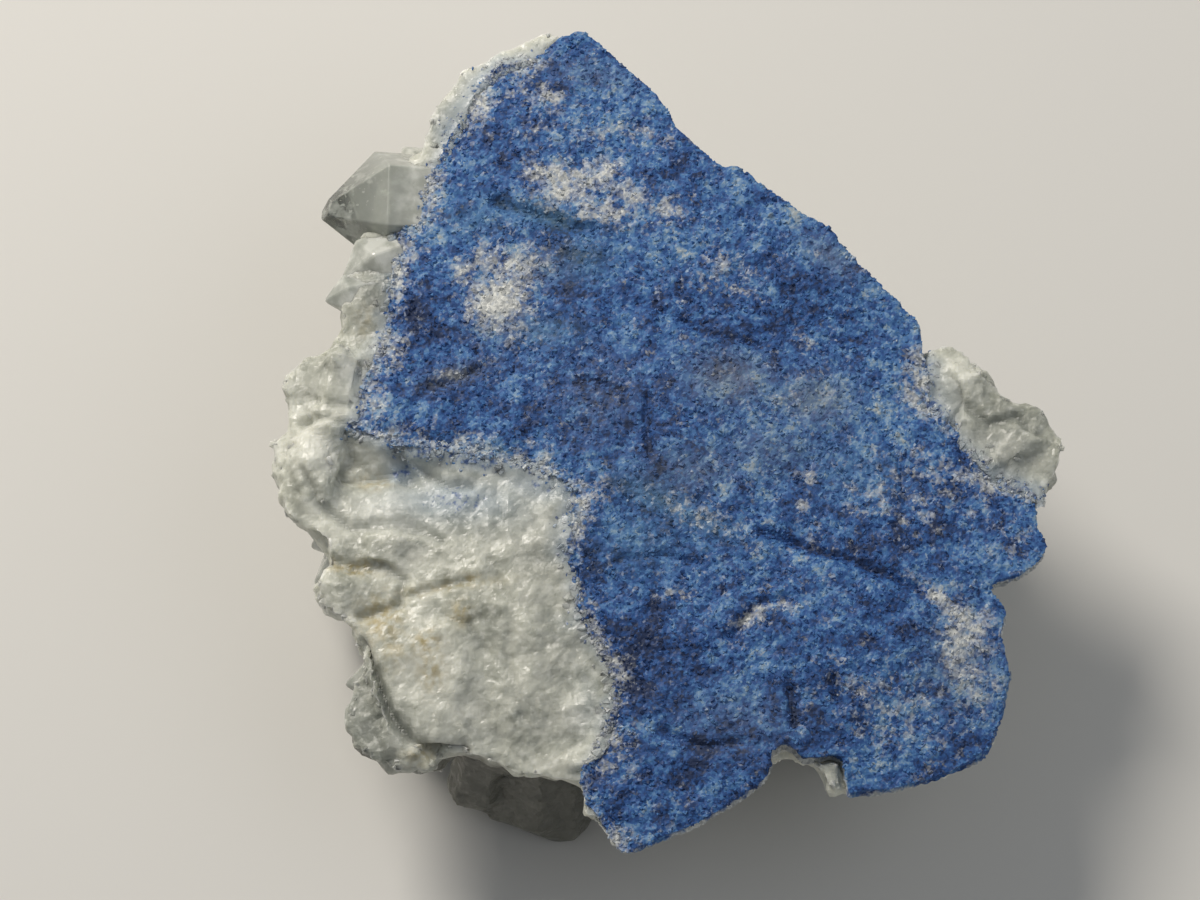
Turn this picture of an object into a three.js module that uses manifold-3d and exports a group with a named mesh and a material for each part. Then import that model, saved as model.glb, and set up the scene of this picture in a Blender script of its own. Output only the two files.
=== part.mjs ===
// A hand specimen of quartz crystals on blue dumortierite, lying on its crystals with the blue side up.
// The blue plate is a thin crust on a body of white quartz, which carries the crystals on its left and
// underneath.
//
// Shapes are made in the frame of the blue face: u to the right, v away up the face, w out of it, in
// millimetres. The finished solids are turned by the lean of the face and set down with +Z up.

import * as THREE from "three";
import { mergeVertices } from "three/addons/utils/BufferGeometryUtils.js";
import Module from "manifold-3d";

const wasm = await Module();
wasm.setup();

// Driving dimensions.
const FACE_LEAN = THREE.MathUtils.degToRad(6); // the face leans towards the front
const FACE_PLACE = new THREE.Vector3(-0.8, -3.4, 41); // where u = v = w = 0 comes in the part's frame
const PLATE_THICKNESS = 4.2;
const PLATE_GAP = 0.35; // clearance between the plate and the quartz that it lies in
const SLAB_THICKNESS = 10;
const MASS_THICKNESS = 26;
const WHITE_STEP = 1.1; // the bare quartz lies this much below the blue face
const GRID_CELL = 5.4; // size of the facets of the broken faces
const UNDERSIDE_CRYSTALS = 62;
const RIM_CRYSTALS = 26;
const QUARTZ_TIP_SLOPE = 1.27; // height over inner radius of a quartz point, faces 38 degrees off its axis

// Edge of the blue plate, anticlockwise from its highest point.
const PLATE_EDGE = [
  [-12, 69.4], [-16, 68.6], [-20, 64.2], [-25, 62.8], [-28.5, 60], [-30, 57], [-32, 53.5], [-34, 48.5],
  [-36.5, 44], [-39, 39], [-41, 34], [-42, 29], [-42.5, 23], [-43, 18], [-45, 13], [-47.5, 7],
  [-47.5, 2.5], [-42, 0], [-36, -0.5], [-29, -2], [-22.5, -3.5], [-16, -5.5], [-12.5, -9], [-14, -17.5],
  [-12.5, -27.5], [-10, -32.5], [-7.5, -37], [-6.5, -41], [-7.5, -45], [-12, -54], [-11, -58],
  [-8.5, -61], [-6, -65.3], [-4.5, -65.8], [-1, -64.5], [6, -61.5], [11, -58.5], [16, -55], [17.5, -52.5],
  [17, -50.5], [19.5, -49], [22, -51.5], [28, -51], [29, -57], [36, -56.2], [42, -54.6], [50.5, -51],
  [53.4, -44.8], [55, -37.5], [53.5, -31], [54.5, -27.5], [51.5, -23.5], [56.5, -22], [59.5, -19.5],
  [61, -17], [59.5, -13.5], [59, -9], [52, -5.5], [49, -2], [45, 3], [42, 7], [42, 12], [41.5, 19.5],
  [37.5, 24], [31.5, 30], [27.5, 35], [21, 39.5], [15.5, 43.5], [13, 46], [10, 46], [3, 52.5],
  [1.6, 56], [-1, 59], [-7, 65],
];

// Edge of the slab of quartz that carries the plate, anticlockwise from its peak.
const SLAB_EDGE = [
  [-18, 70.7], [-22.6, 67.5], [-27.2, 65.7], [-31.8, 63.3], [-35.7, 59.8], [-36.9, 55.6], [-38, 51.8],
  [-38.7, 49], [-44, 40], [-47.7, 31], [-51, 27], [-50.5, 22], [-51.2, 16.5], [-56.5, 15.5],
  [-59.6, 11.5], [-59, 6], [-58.7, 3.7], [-61.6, 0.5], [-62, -4.2], [-60, -10], [-58, -13],
  [-53, -15.5], [-52.5, -19.5], [-55.2, -22], [-53.4, -27], [-47.8, -28.8], [-47.8, -32], [-45.6, -40.3],
  [-43, -48.6], [-39.7, -50.4], [-35.2, -49.5], [-28.8, -51], [-20.8, -54], [-16, -54.8], [-12.5, -54.6],
  [-11.5, -59], [-9, -61.5], [-8, -63.4], [-6.3, -64.6], [-4, -64], [-1, -62.5], [6, -60], [12, -58.5],
  [16, -54.5], [16.7, -52.5], [17.5, -51], [19.5, -49.5], [22, -51.8], [24.9, -52.6], [25.8, -56.2],
  [28, -56.4],
  [36, -55.4], [42, -53.8], [50, -50.5], [53, -45], [54.5, -37.5], [52.6, -31], [53.5, -27.5], [50.5, -23.5],
  [56, -21.2], [58.7, -18.7], [59.8, -17], [58.5, -13.5], [59.5, -8.5], [62.4, -6.7], [63.5, -4.5],
  [62.9, -3], [64, 0], [63.4, 2.6], [60.9, 7], [57.6, 7.1], [54.9, 8], [51.9, 12.6], [47.5, 16.6],
  [45.3, 17.2], [43.6, 16.3], [41, 16.8], [40.5, 19], [36.7, 23.2], [30.7, 29.2], [26.7, 34], [20.5, 38.5],
  [15, 42.5], [12.5, 45], [9.5, 45], [2, 52], [0.4, 55.4], [-2, 58], [-8, 64], [-13, 68.4],
];

// Edge of the thicker mass of quartz under the slab, drawn in at the front and the right.
const MASS_EDGE = [
  [-16, 64], [-30, 60], [-38, 50], [-44, 36], [-48, 20], [-53, 8], [-55, -4], [-51, -14], [-47, -27],
  [-44, -40], [-36, -47], [-24, -51], [-11, -51], [2, -50], [12, -46], [20, -41], [30, -45], [42, -43],
  [47, -32], [49, -18], [52, -6], [53, 0], [46, 6], [39, 15], [28, 28], [16, 38], [5, 49], [-5, 59],
];

// Broken shelf of quartz at the front left, below the white face.
const SHELF_EDGE = [
  [-38, -30], [-47, -36], [-49, -37.5], [-49.5, -41], [-50, -43.5], [-48, -48], [-44.5, -50.2],
  [-41, -51.7], [-36, -53], [-33.5, -50.5], [-31, -46], [-30, -36],
];

// Rounded lumps of quartz: centre, then half sizes along u, v and w.
const LUMPS = [
  { at: [-55.5, -4.5, -6], size: [6.5, 8.5, 6.5] },
  { at: [-51.5, 3.5, -5], size: [6, 5, 5.4] },
  { at: [-50, -24, -6.5], size: [6, 5, 5.4] },
  { at: [-45.5, 24, -5], size: [5, 7, 4.6] },
  { at: [-42, -17, -7], size: [9, 6, 7] },
  { at: [-33, -33, -8], size: [10, 9, 8] },
  { at: [48, 9.5, -5.5], size: [6, 6, 5.5] },
  { at: [56.5, 0.5, -6], size: [6, 5, 5.4] },
  { at: [53, -2.5, -6], size: [5, 4, 5.6] },
];

// The larger crystals: name, where each starts, the way it points, its radius, its length and its turn about
// its own axis.
const CRYSTALS = [
  ["clear point", [-38.5, 40.9, -7.5], [-1, -0.02, -0.02], 9.8, 16, 0.5],
  ["left tip", [-43, 26, -5.5], [-1, -0.2, 0.02], 3.9, 10.6, 0.4],
  ["left shoulder", [-41, 32, -6.5], [-1, -0.42, 0.02], 5.4, 11, 0.5],
  ["left block", [-48, 10.4, -6.5], [-1, 0.12, 0.02], 7.4, 12.4, 0.35],
  ["bright stub", [-50, 13, -6], [-0.25, 0.14, 0.96], 2.6, 8.2, 0.1],
  ["low left", [-45, -11, -10], [-0.85, -0.28, -0.3], 4.4, 11.5, 0.7],
  ["shelf end", [-40, -36, -9], [-1, -0.1, -0.15], 3.4, 10, 0.5],
  ["front bulk", [-18.5, -38, -10], [-0.02, -0.46, -0.88], 9.6, 37, 0.45],
  ["front block", [-16.5, -41.5, -14], [0.04, -0.52, -0.84], 5.8, 30, 0.2],
  ["front corner", [-26, -42, -10], [-0.16, -0.42, -0.88], 5.4, 25, 0.6],
  ["front heel", [-35, -32, -12], [-0.06, -0.16, -0.97], 7.2, 33, 0.8],
  ["left foot", [-40, -1, -14], [-0.14, 0.04, -0.98], 8, 38, 0.1],
  ["left leaner", [-42, 15, -16], [-0.5, 0.16, -0.85], 5.8, 20, 0.6],
  ["back left", [-31, 36, -16], [-0.42, 0.3, -0.85], 8, 29, 0.4],
  ["back foot", [-15, 46, -14], [-0.06, 0.2, -0.98], 8.4, 40, 0.3],
  ["back point", [-2, 44, -14], [0.1, 0.44, -0.88], 5.8, 24, 0.9],
  ["back right", [16, 29, -14], [0.32, 0.42, -0.85], 7, 27, 0.7],
  ["right point", [38, 4, -14], [0.5, 0.2, -0.84], 5.4, 21, 0.2],
  ["right foot", [36, -24, -12], [0.06, -0.02, -1], 8, 36, 0.2],
  ["right back foot", [31, 2, -12], [0.1, 0.1, -0.98], 7.4, 38, 0.5],
].map(([name, root, toward, radius, length, turn]) => ({ name, root, toward, radius, length, turn }));

// A repeatable number from 0 to 1 for any number n.
function scatter(n) {
  const s = Math.sin(n * 12.9898 + 4.137) * 43758.5453;
  return s - Math.floor(s);
}

function spread(n, low, high) {
  return low + (high - low) * scatter(n);
}

function smoothStep(low, high, x) {
  const t = THREE.MathUtils.clamp((x - low) / (high - low), 0, 1);
  return t * t * (3 - 2 * t);
}

// How far a soft dome centred on (u0, v0) reaches at (u, v).
function dome(u, v, u0, v0, radius) {
  return Math.exp(-((u - u0) ** 2 + (v - v0) ** 2) / radius ** 2);
}

// Height of the broken blue face: slightly crowned, with a raised nose at the lower middle and a sagging
// lower tip.
function blueHeight(u, v) {
  const crown = -0.00055 * (u * u + v * v);
  const nose = 1.3 * smoothStep(-34, -28, u * 0.4 + v * -1.05 - 62) * dome(u, v, 22, -36, 17);
  const tip = -0.5 * dome(u, v, -4, -62, 14);
  const hollow = -0.9 * dome(u, v, -25, 22, 11) - 0.8 * dome(u, v, 30, 10, 16);
  return crown + nose + tip + hollow + 1.1 * dome(u, v, 2, 2, 14) + 0.9 * dome(u, v, 36, -34, 14);
}

// Height of the bare quartz: below the blue, with a crease where the two white masses meet and a falling
// front.
function whiteHeight(u, v) {
  const crease = -2.4 * Math.exp(-(((v + 5 + 0.2 * (u + 40)) / 2.6) ** 2)) * smoothStep(-30, -36, u);
  const front = -2.4 * smoothStep(-44, -56, v) * smoothStep(-8, -14, u);
  const swell = 1.6 * dome(u, v, -26, -22, 13) + 1.2 * dome(u, v, -36, -36, 9);
  const lobe = 1.2 * dome(u, v, 52, 4, 8);
  return blueHeight(u, v) - WHITE_STEP + crease + front + swell + lobe;
}

// A closed three.js geometry as a solid that can be joined and cut.
function solidOf(geometry) {
  const bare = geometry.clone();
  for (const name of Object.keys(bare.attributes)) {
    if (name !== "position") bare.deleteAttribute(name);
  }
  const merged = mergeVertices(bare, 1e-4);
  return new wasm.Manifold(
    new wasm.Mesh({
      numProp: 3,
      vertProperties: new Float32Array(merged.attributes.position.array),
      triVerts: new Uint32Array(merged.index.array),
    }),
  );
}

function geometryOf(solid) {
  const mesh = solid.getMesh();
  const geometry = new THREE.BufferGeometry();
  geometry.setAttribute("position", new THREE.BufferAttribute(new Float32Array(mesh.vertProperties), 3));
  geometry.setIndex(new THREE.BufferAttribute(new Uint32Array(mesh.triVerts), 1));
  geometry.computeVertexNormals();
  return geometry;
}

function polygonArea(outline) {
  return THREE.ShapeUtils.area(outline.map(([u, v]) => new THREE.Vector2(u, v)));
}

// The outline moved outwards by a distance, each corner along the mean of its two edges' normals.
function grow(outline, distance) {
  const turn = Math.sign(polygonArea(outline));
  return outline.map((point, i) => {
    const before = outline[(i + outline.length - 1) % outline.length];
    const after = outline[(i + 1) % outline.length];
    const first = new THREE.Vector2(point[1] - before[1], before[0] - point[0]).normalize();
    const second = new THREE.Vector2(after[1] - point[1], point[0] - after[0]).normalize();
    const normal = first.clone().add(second).normalize().multiplyScalar(turn);
    const reach = distance / Math.max(0.6, Math.abs(normal.dot(first)));
    return [point[0] + normal.x * reach, point[1] + normal.y * reach];
  });
}

// A solid with the given outline at each level, from the highest down. A level is drawn in towards the middle
// by its scale, and roughness moves its corners by up to that many millimetres.
function stack(outline, levels) {
  const count = outline.length;
  const positions = [];
  levels.forEach(({ w, scale = 1, rough = 0 }, k) => {
    outline.forEach(([u, v], i) => {
      const key = 31 * k + i;
      positions.push(
        u * scale + spread(key + 0.1, -rough, rough),
        v * scale + spread(key + 0.3, -rough, rough),
        w + spread(key + 0.7, -rough, rough),
      );
    });
  });
  const cap = THREE.ShapeUtils.triangulateShape(outline.map(([u, v]) => new THREE.Vector2(u, v)), []);
  const last = (levels.length - 1) * count;
  const faces = [];
  for (const [a, b, c] of cap) {
    faces.push(a, b, c, last + a, last + c, last + b);
  }
  for (let k = 0; k + 1 < levels.length; k++) {
    for (let i = 0; i < count; i++) {
      const next = (i + 1) % count;
      const upper = k * count;
      const lower = upper + count;
      faces.push(upper + i, lower + i, lower + next, upper + i, lower + next, upper + next);
    }
  }
  const geometry = new THREE.BufferGeometry();
  geometry.setAttribute("position", new THREE.Float32BufferAttribute(positions, 3));
  geometry.setIndex(faces);
  return solidOf(geometry);
}

// Everything below a broken face: a block whose top follows the height, in irregular facets.
function below(height, relief) {
  const width = 150;
  const depth = 60;
  const cells = Math.round(width / GRID_CELL);
  const block = new THREE.BoxGeometry(width, width, depth, cells, cells, 1);
  const place = block.attributes.position;
  const inside = width / 2 - 0.01;
  for (let i = 0; i < place.count; i++) {
    if (place.getZ(i) < 0) {
      place.setZ(i, -depth);
      continue;
    }
    let u = place.getX(i);
    let v = place.getY(i);
    const key = Math.round(u / GRID_CELL) * 57 + Math.round(v / GRID_CELL);
    if (Math.abs(u) < inside && Math.abs(v) < inside) {
      u += spread(key + 0.2, -0.34, 0.34) * GRID_CELL;
      v += spread(key + 0.5, -0.34, 0.34) * GRID_CELL;
    }
    place.setXYZ(i, u, v, height(u, v) + spread(key + 0.8, -relief, relief));
  }
  return solidOf(block);
}

// A rounded lump with uneven facets.
function lump({ at, size }, index) {
  const ball = new THREE.IcosahedronGeometry(1, 1);
  const place = ball.attributes.position;
  const point = new THREE.Vector3();
  for (let i = 0; i < place.count; i++) {
    point.fromBufferAttribute(place, i);
    const key = Math.round(point.x * 50) + Math.round(point.y * 50) * 3.1 + Math.round(point.z * 50) * 7.7;
    point.multiplyScalar(spread(key + index * 5.3, 0.86, 1.08));
    place.setXYZ(i, at[0] + point.x * size[0], at[1] + point.y * size[1], at[2] + point.z * size[2]);
  }
  return solidOf(ball);
}

// A quartz crystal: six prism faces and six uneven tip faces, widening a little from its root.
function crystal({ root, toward, radius, length, turn }, index) {
  const sides = 6;
  const tipHeight = QUARTZ_TIP_SLOPE * Math.cos(Math.PI / sides) * radius;
  const shoulder = Math.max(length - tipHeight, length * 0.25);
  const corners = [];
  for (const [level, scale] of [[0, 0.93], [shoulder, 1]]) {
    for (let i = 0; i < sides; i++) {
      const angle = ((i + turn) * 2 * Math.PI) / sides;
      const uneven = level ? spread(index * 7 + i, -0.22, 0.22) * tipHeight : 0;
      const reach = radius * scale;
      corners.push(new THREE.Vector3(Math.cos(angle) * reach, Math.sin(angle) * reach, level + uneven));
    }
  }
  const aside = [spread(index + 0.4, -0.16, 0.16), spread(index + 0.6, -0.16, 0.16)];
  corners.push(new THREE.Vector3(aside[0] * radius, aside[1] * radius, length));
  const tip = 2 * sides;
  const faces = [];
  for (let i = 0; i < sides; i++) {
    const next = (i + 1) % sides;
    faces.push(i, next, sides + next, i, sides + next, sides + i, sides + i, sides + next, tip);
    if (i > 0 && next > 0) faces.push(0, next, i);
  }
  const axis = new THREE.Vector3(...toward).normalize();
  const standing = new THREE.Quaternion().setFromUnitVectors(new THREE.Vector3(0, 0, 1), axis);
  const start = new THREE.Vector3(...root);
  const geometry = new THREE.BufferGeometry().setFromPoints(
    corners.map((corner) => corner.applyQuaternion(standing).add(start)),
  );
  geometry.setIndex(faces);
  return solidOf(geometry);
}

// Distance from the middle to an outline, in the direction of an angle.
function reachOf(outline, angle) {
  const along = new THREE.Vector2(Math.cos(angle), Math.sin(angle));
  let reach = 0;
  outline.forEach((point, i) => {
    const a = new THREE.Vector2(...point);
    const edge = new THREE.Vector2(...outline[(i + 1) % outline.length]).sub(a);
    const cross = along.cross(edge);
    if (Math.abs(cross) < 1e-9) return;
    const distance = a.cross(edge) / cross;
    const share = a.cross(along) / cross;
    if (distance > 0 && share >= 0 && share <= 1) reach = Math.max(reach, distance);
  });
  return reach;
}

// How free a side of the cluster is for crystals that point outwards: none at the front right, where the blue
// face overhangs, and all at the back left.
function openness(angle) {
  return smoothStep(-0.2, 0.8, Math.cos(angle - THREE.MathUtils.degToRad(125)));
}

// The crystals that cover the underside, laid out like the seeds of a sunflower and leaning outwards towards
// the rim. They are longer towards the back, where the leaning face stands higher over the ground.
function undersideCrystals() {
  const golden = Math.PI * (3 - Math.sqrt(5));
  const found = [];
  for (let i = 0; i < UNDERSIDE_CRYSTALS; i++) {
    const angle = i * golden;
    const share = Math.sqrt((i + 0.5) / UNDERSIDE_CRYSTALS);
    const reach = reachOf(MASS_EDGE, angle) * share * 0.88;
    const lean = share * (0.15 + 0.7 * openness(angle)) + spread(i + 0.9, -0.25, 0.25);
    const swing = angle + spread(i, -0.9, 0.9);
    const size = scatter(i + 0.2) ** 1.5;
    const root = [Math.cos(angle) * reach, Math.sin(angle) * reach, -MASS_THICKNESS + 9];
    found.push({
      root,
      toward: [Math.cos(swing) * lean, Math.sin(swing) * lean, -1],
      radius: 4.3 + 4.7 * size,
      length: 18 + 9 * size + spread(i + 0.5, -2, 3) + root[1] * Math.sin(FACE_LEAN),
      turn: scatter(i + 0.7),
    });
  }
  return found;
}

// The crystals that point outwards from the side of the mass, steeply down where the blue face overhangs.
function rimCrystals() {
  const found = [];
  for (let i = 0; i < RIM_CRYSTALS; i++) {
    const angle = (2 * Math.PI * (i + spread(i + 0.3, -0.3, 0.3))) / RIM_CRYSTALS;
    const reach = reachOf(MASS_EDGE, angle) * 0.86;
    const free = openness(angle);
    found.push({
      root: [Math.cos(angle) * reach, Math.sin(angle) * reach, -14 - 7 * scatter(i + 0.1)],
      toward: [Math.cos(angle), Math.sin(angle), spread(i + 0.8, -0.5, -0.15) - 0.8 * (1 - free)],
      radius: spread(i + 0.6, 3, 5.4),
      length: spread(i + 0.4, 10, 13) + 2 * free,
      turn: scatter(i + 0.5),
    });
  }
  return found;
}

// Turns a solid from the frame of the face into the part's own frame.
function setDown(solid) {
  const geometry = geometryOf(solid);
  geometry.rotateX(FACE_LEAN);
  geometry.translate(FACE_PLACE.x, FACE_PLACE.y, FACE_PLACE.z);
  return solidOf(geometry);
}

// The half of space above the surface that the cluster lies on. The crystal ends that reach it are worn flat.
function aboveGround() {
  const size = 400;
  return solidOf(new THREE.BoxGeometry(size, size, size).translate(0, 0, size / 2));
}

function bluePlate() {
  const levels = [{ w: 8 }, { w: -PLATE_THICKNESS }];
  return stack(PLATE_EDGE, levels).intersect(below(blueHeight, 0.35));
}

// The room that the plate takes in the quartz, open above.
function plateSeat() {
  return stack(grow(PLATE_EDGE, PLATE_GAP), [{ w: 20 }, { w: -PLATE_THICKNESS - PLATE_GAP }]);
}

function quartzBody() {
  const slab = stack(SLAB_EDGE, [
    { w: 8 },
    { w: -3, rough: 0.3 },
    { w: -7, rough: 0.8 },
    { w: -SLAB_THICKNESS, scale: 0.985, rough: 0.8 },
  ]);
  const shelf = stack(SHELF_EDGE, [
    { w: -5.5, rough: 0.3 },
    { w: -9, scale: 1.01, rough: 0.4 },
    { w: -15, scale: 0.95, rough: 0.5 },
  ]);
  const mass = stack(MASS_EDGE, [
    { w: -SLAB_THICKNESS + 2.5, scale: 0.99 },
    { w: -14, scale: 1.01, rough: 1.2 },
    { w: -19, scale: 0.95, rough: 1.4 },
    { w: -MASS_THICKNESS, scale: 0.84, rough: 1 },
  ]);
  return slab.intersect(below(whiteHeight, 0.7)).add(shelf).add(mass);
}

// The solid with the closed hollows filled that are left where crystals lean on each other.
function withoutHollows(solid) {
  const shells = solid.decompose();
  return shells.reduce((best, shell) => (shell.volume() > best.volume() ? shell : best));
}

function quartzCluster() {
  let cluster = quartzBody();
  LUMPS.forEach((spec, i) => {
    cluster = cluster.add(lump(spec, i));
  });
  [...CRYSTALS, ...undersideCrystals(), ...rimCrystals()].forEach((spec, i) => {
    cluster = cluster.add(crystal(spec, i));
  });
  return withoutHollows(cluster.subtract(plateSeat()));
}

const dumortierite = new THREE.MeshStandardMaterial({ color: 0x3f66ad, roughness: 0.75, metalness: 0 });
const quartz = new THREE.MeshStandardMaterial({ color: 0xd3d2c8, roughness: 0.3, metalness: 0 });

function named(name, solid, material) {
  const mesh = new THREE.Mesh(geometryOf(solid), material);
  mesh.name = name;
  return mesh;
}

const specimen = new THREE.Group();
specimen.add(named("quartz_cluster", setDown(quartzCluster()).intersect(aboveGround()), quartz));
specimen.add(named("dumortierite_plate", setDown(bluePlate()), dumortierite));

export default specimen;
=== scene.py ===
import math
from collections import namedtuple

import bmesh
import bpy
import numpy as np
from bpy.props import FloatProperty, FloatVectorProperty, IntProperty, PointerProperty
from mathutils import Matrix, Vector
from mathutils.bvhtree import BVHTree


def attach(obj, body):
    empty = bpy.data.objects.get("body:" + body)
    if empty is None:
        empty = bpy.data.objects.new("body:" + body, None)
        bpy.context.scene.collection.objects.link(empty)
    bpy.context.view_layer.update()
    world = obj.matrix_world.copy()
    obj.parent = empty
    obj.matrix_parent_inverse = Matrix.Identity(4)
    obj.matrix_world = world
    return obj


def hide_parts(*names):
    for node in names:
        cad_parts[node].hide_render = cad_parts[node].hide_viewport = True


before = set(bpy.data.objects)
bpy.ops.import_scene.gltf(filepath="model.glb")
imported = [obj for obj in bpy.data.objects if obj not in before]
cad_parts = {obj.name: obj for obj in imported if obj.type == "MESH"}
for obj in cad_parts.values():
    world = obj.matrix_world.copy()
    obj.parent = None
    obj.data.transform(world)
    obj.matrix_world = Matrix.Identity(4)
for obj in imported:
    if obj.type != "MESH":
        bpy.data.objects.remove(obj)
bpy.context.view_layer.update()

bl_info = {
    "name": "Dumortierite quartz cluster",
    "version": (1, 0, 0),
    "blender": (4, 5, 0),
    "location": "View3D > Sidebar > Mineral",
    "description": "Builds a hand specimen of quartz crystals on blue dumortierite",
    "category": "Add Mesh",
}

MM = 0.001

# Frame of the blue face: u to the right, v away up the face, w out of it, in millimetres, as in the part's
# source. Every plain length and place below is in millimetres of that frame, unless a comment says
# otherwise.
FACE_LEAN = math.radians(6)
FACE_PLACE = np.array([-0.8, -3.4, 41.0])
MASS_THICKNESS = 26
UNDERSIDE_CRYSTALS = 62
RIM_CRYSTALS = 26
QUARTZ_TIP_SLOPE = 1.27

# The photo's camera: how high and how far off it stands, how wide its frame is at the face, and the pixel
# at which the middle of the face shows.
CAMERA_ELEVATION = math.radians(68)
CAMERA_DISTANCE = 1000.0
FRAME_WIDTH = 189.2
FRAME_PIXELS = (1200, 900)
SENSOR_WIDTH = 36.0
FACE_CENTRE_PIXEL = (660, 439)

# Outline of the thick quartz mass under the slab, as in the part's source.
MASS_EDGE = [
    (-16, 64), (-30, 60), (-38, 50), (-44, 36), (-48, 20), (-53, 8), (-55, -4), (-51, -14), (-47, -27),
    (-44, -40), (-36, -47), (-24, -51), (-11, -51), (2, -50), (12, -46), (20, -41), (30, -45), (42, -43),
    (47, -32), (49, -18), (52, -6), (53, 0), (46, 6), (39, 15), (28, 28), (16, 38), (5, 49), (-5, 59),
]

# The edge of the blue rock where it passes into the white quartz beside it: at the left and the lower left,
# and at the right lobe.
CONTACT_LINES = [
    [
        (-20, 64.2), (-25, 62.8), (-28.5, 60), (-32, 53.5), (-36.5, 44), (-41, 34), (-42.5, 23), (-43, 18),
        (-47.5, 7), (-47.5, 2.5), (-42, 0), (-29, -2), (-16, -5.5), (-12.5, -9), (-14, -17.5), (-12.5, -27.5),
        (-7.5, -37), (-6.5, -41), (-7.5, -45), (-12, -54), (-11, -58), (-6, -65.3),
    ],
    [(42, 12), (42, 7), (49, -2), (52, -5.5), (59, -9)],
]

# Shape of the blue rock's edge: how far its side is drawn in to leave room for grains, how far it reaches
# into the quartz at the contact instead, how far its edge slopes down there and how wide that slope is, and
# how far its underside is let down to fill the seam.
SIDE_ROOM = 0.55
CONTACT_OVERLAP = 0.6
CONTACT_SLOPE = 0.5
SLOPE_WIDTH = 2
SEAM_FILLING = 0.4

# Shape of the quartz at the contact: how far the side of the seat is filled and how far from the contact,
# how wide the rim is that rises to the blue edge, how far under that edge it stays and how far it rises at
# most.
SEAT_FILLING = 0.6
SEAT_WIDTH = 1.5
RIM_WIDTH = 2.8
RIM_DROP = 0.1
HIGHEST_RIM = 3.5

# Grains along the contact: the width of their band on the quartz, how much more densely quartz grains and
# blue grains lie there than elsewhere, and how densely stray blue grains lie against those of the face.
GRAIN_BAND = 1.8
CONTACT_CROWDING = 4
BLUE_CROWDING = 2
STRAY_CROWDING = 1.3

# Height of the blue face: how it falls off from its middle, for each millimetre squared, and its swells and
# hollows, each a middle, a radius and a rise.
CROWN = 0.00055
FACE_SWELLS = [
    ((-25, 22), 11, -0.9), ((30, 10), 16, -0.8), ((-4, -62), 14, -0.5), ((2, 2), 14, 1.1),
    ((36, -34), 14, 0.9),
]

# Relief of intergrown blocks: their size, the height of the relief, the share of it that brings it to
# nought on the whole, and a seed.
Relief = namedtuple("Relief", "size height centring seed")
FACE_CLUMPS = Relief(1.7, 0.5, 0.25, 5)
FACE_CRUMBS = Relief(0.85, 0.25, 0.25, 6)
MASS_BLOCKS = Relief(5.6, 2.2, 0.1, 31)
MASS_STONES = Relief(2.2, 1.1, 0.12, 32)
MASS_SPLINTERS = Relief(0.95, 0.2, 0.15, 33)
BLOCK_UNEVENNESS = 0.35

# The soft swells of the blue face, and how deep its blue crust goes at the broken edge, where pale quartz
# shows under it.
SWELL_SIZE = 9.0
SWELL_HEIGHT = 0.4
CRUST_DEPTH = 1.2
CRUST_UNEVENNESS = 0.8

# How much lower the blocks and the stones are on the level bare face, how far the whole mass is drawn in,
# and how far more inside a crystal that has faces of its own.
BLOCKS_CALMED = 1.2
STONES_CALMED = 0.75
MASS_DRAWN_IN = 0.3
SUNK_IN_CRYSTALS = 0.9

# Heights over the face's plane between which something sets in on the quartz, from not at all to in full.
RIM_HEIGHTS = (-4.5, -4.1)
SEAT_HEIGHTS = (-5.5, -4.8)
BAND_HEIGHTS = (-4.5, -3.5)
LEVEL_HEIGHTS = (-8, -5)
CREASE_HEIGHTS = (-10, -6)
LIT_SPOT_HEIGHTS = (-12, -8)
BLUE_TINT_HEIGHTS = (-6, -3)
GRAIN_HEIGHTS = (-13, -8)
# Painted shade: the heights between which the quartz turns greyer lower down.
LOWER_SHADE_HEIGHTS = (-8, -14)
FINE_NET_HEIGHT = -9

# Where the painted shade at the front sets in, which darkens the quartz there to a smoky grey as the shadow
# under the slab does: towards the viewer, downwards and to the left.
FRONT_SHADE_TOWARD = (-41, -46)
FRONT_SHADE_HEIGHTS = (-7, -10)
FRONT_SHADE_LEFT = (6, -4)

# How loose grains lie: the smallest and the largest for a grain of size 1, how far they tilt in radians,
# how deep they are sunk in millimetres, and their greatest thickness against their width. A stray grain is
# this pale.
FACE_GRAINS = {"Smallest": 0.6, "Largest": 1.4, "Tilt": 1.2, "Sink": 0.12, "Flatness": 1.1}
QUARTZ_GRAINS = {"Smallest": 0.4, "Largest": 1.4, "Tilt": 0.45, "Sink": 0.35, "Flatness": 0.9}
STRAY_GRAINS = {"Smallest": 0.5, "Largest": 1.3, "Tilt": 0.8, "Sink": 0.15, "Flatness": 0.9}
STRAY_PALENESS = 0.4


def srgb(code):
    """An sRGB hex colour as linear RGB."""
    values = [int(code[i:i + 2], 16) / 255 for i in (1, 3, 5)]
    return [v / 12.92 if v <= 0.04045 else ((v + 0.055) / 1.055) ** 2.4 for v in values]


# Frames and the camera

def to_part(points):
    """Points of the face's frame, in millimetres, as points of the part's frame, in metres."""
    u, v, w = np.asarray(points, dtype=float).T
    cos, sin = math.cos(FACE_LEAN), math.sin(FACE_LEAN)
    turned = np.stack([u, v * cos - w * sin, v * sin + w * cos], axis=1)
    return (turned + FACE_PLACE) * MM


def to_face(points):
    """Points of the part's frame, in metres, as points of the face's frame, in millimetres."""
    x, y, z = (np.asarray(points, dtype=float) / MM - FACE_PLACE).T
    cos, sin = math.cos(FACE_LEAN), math.sin(FACE_LEAN)
    return np.stack([x, y * cos + z * sin, z * cos - y * sin], axis=1)


def camera_axes():
    """The camera's right, up and forward directions."""
    right = np.array([1.0, 0.0, 0.0])
    forward = np.array([0.0, math.cos(CAMERA_ELEVATION), -math.sin(CAMERA_ELEVATION)])
    return right, np.cross(right, forward), forward


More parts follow.
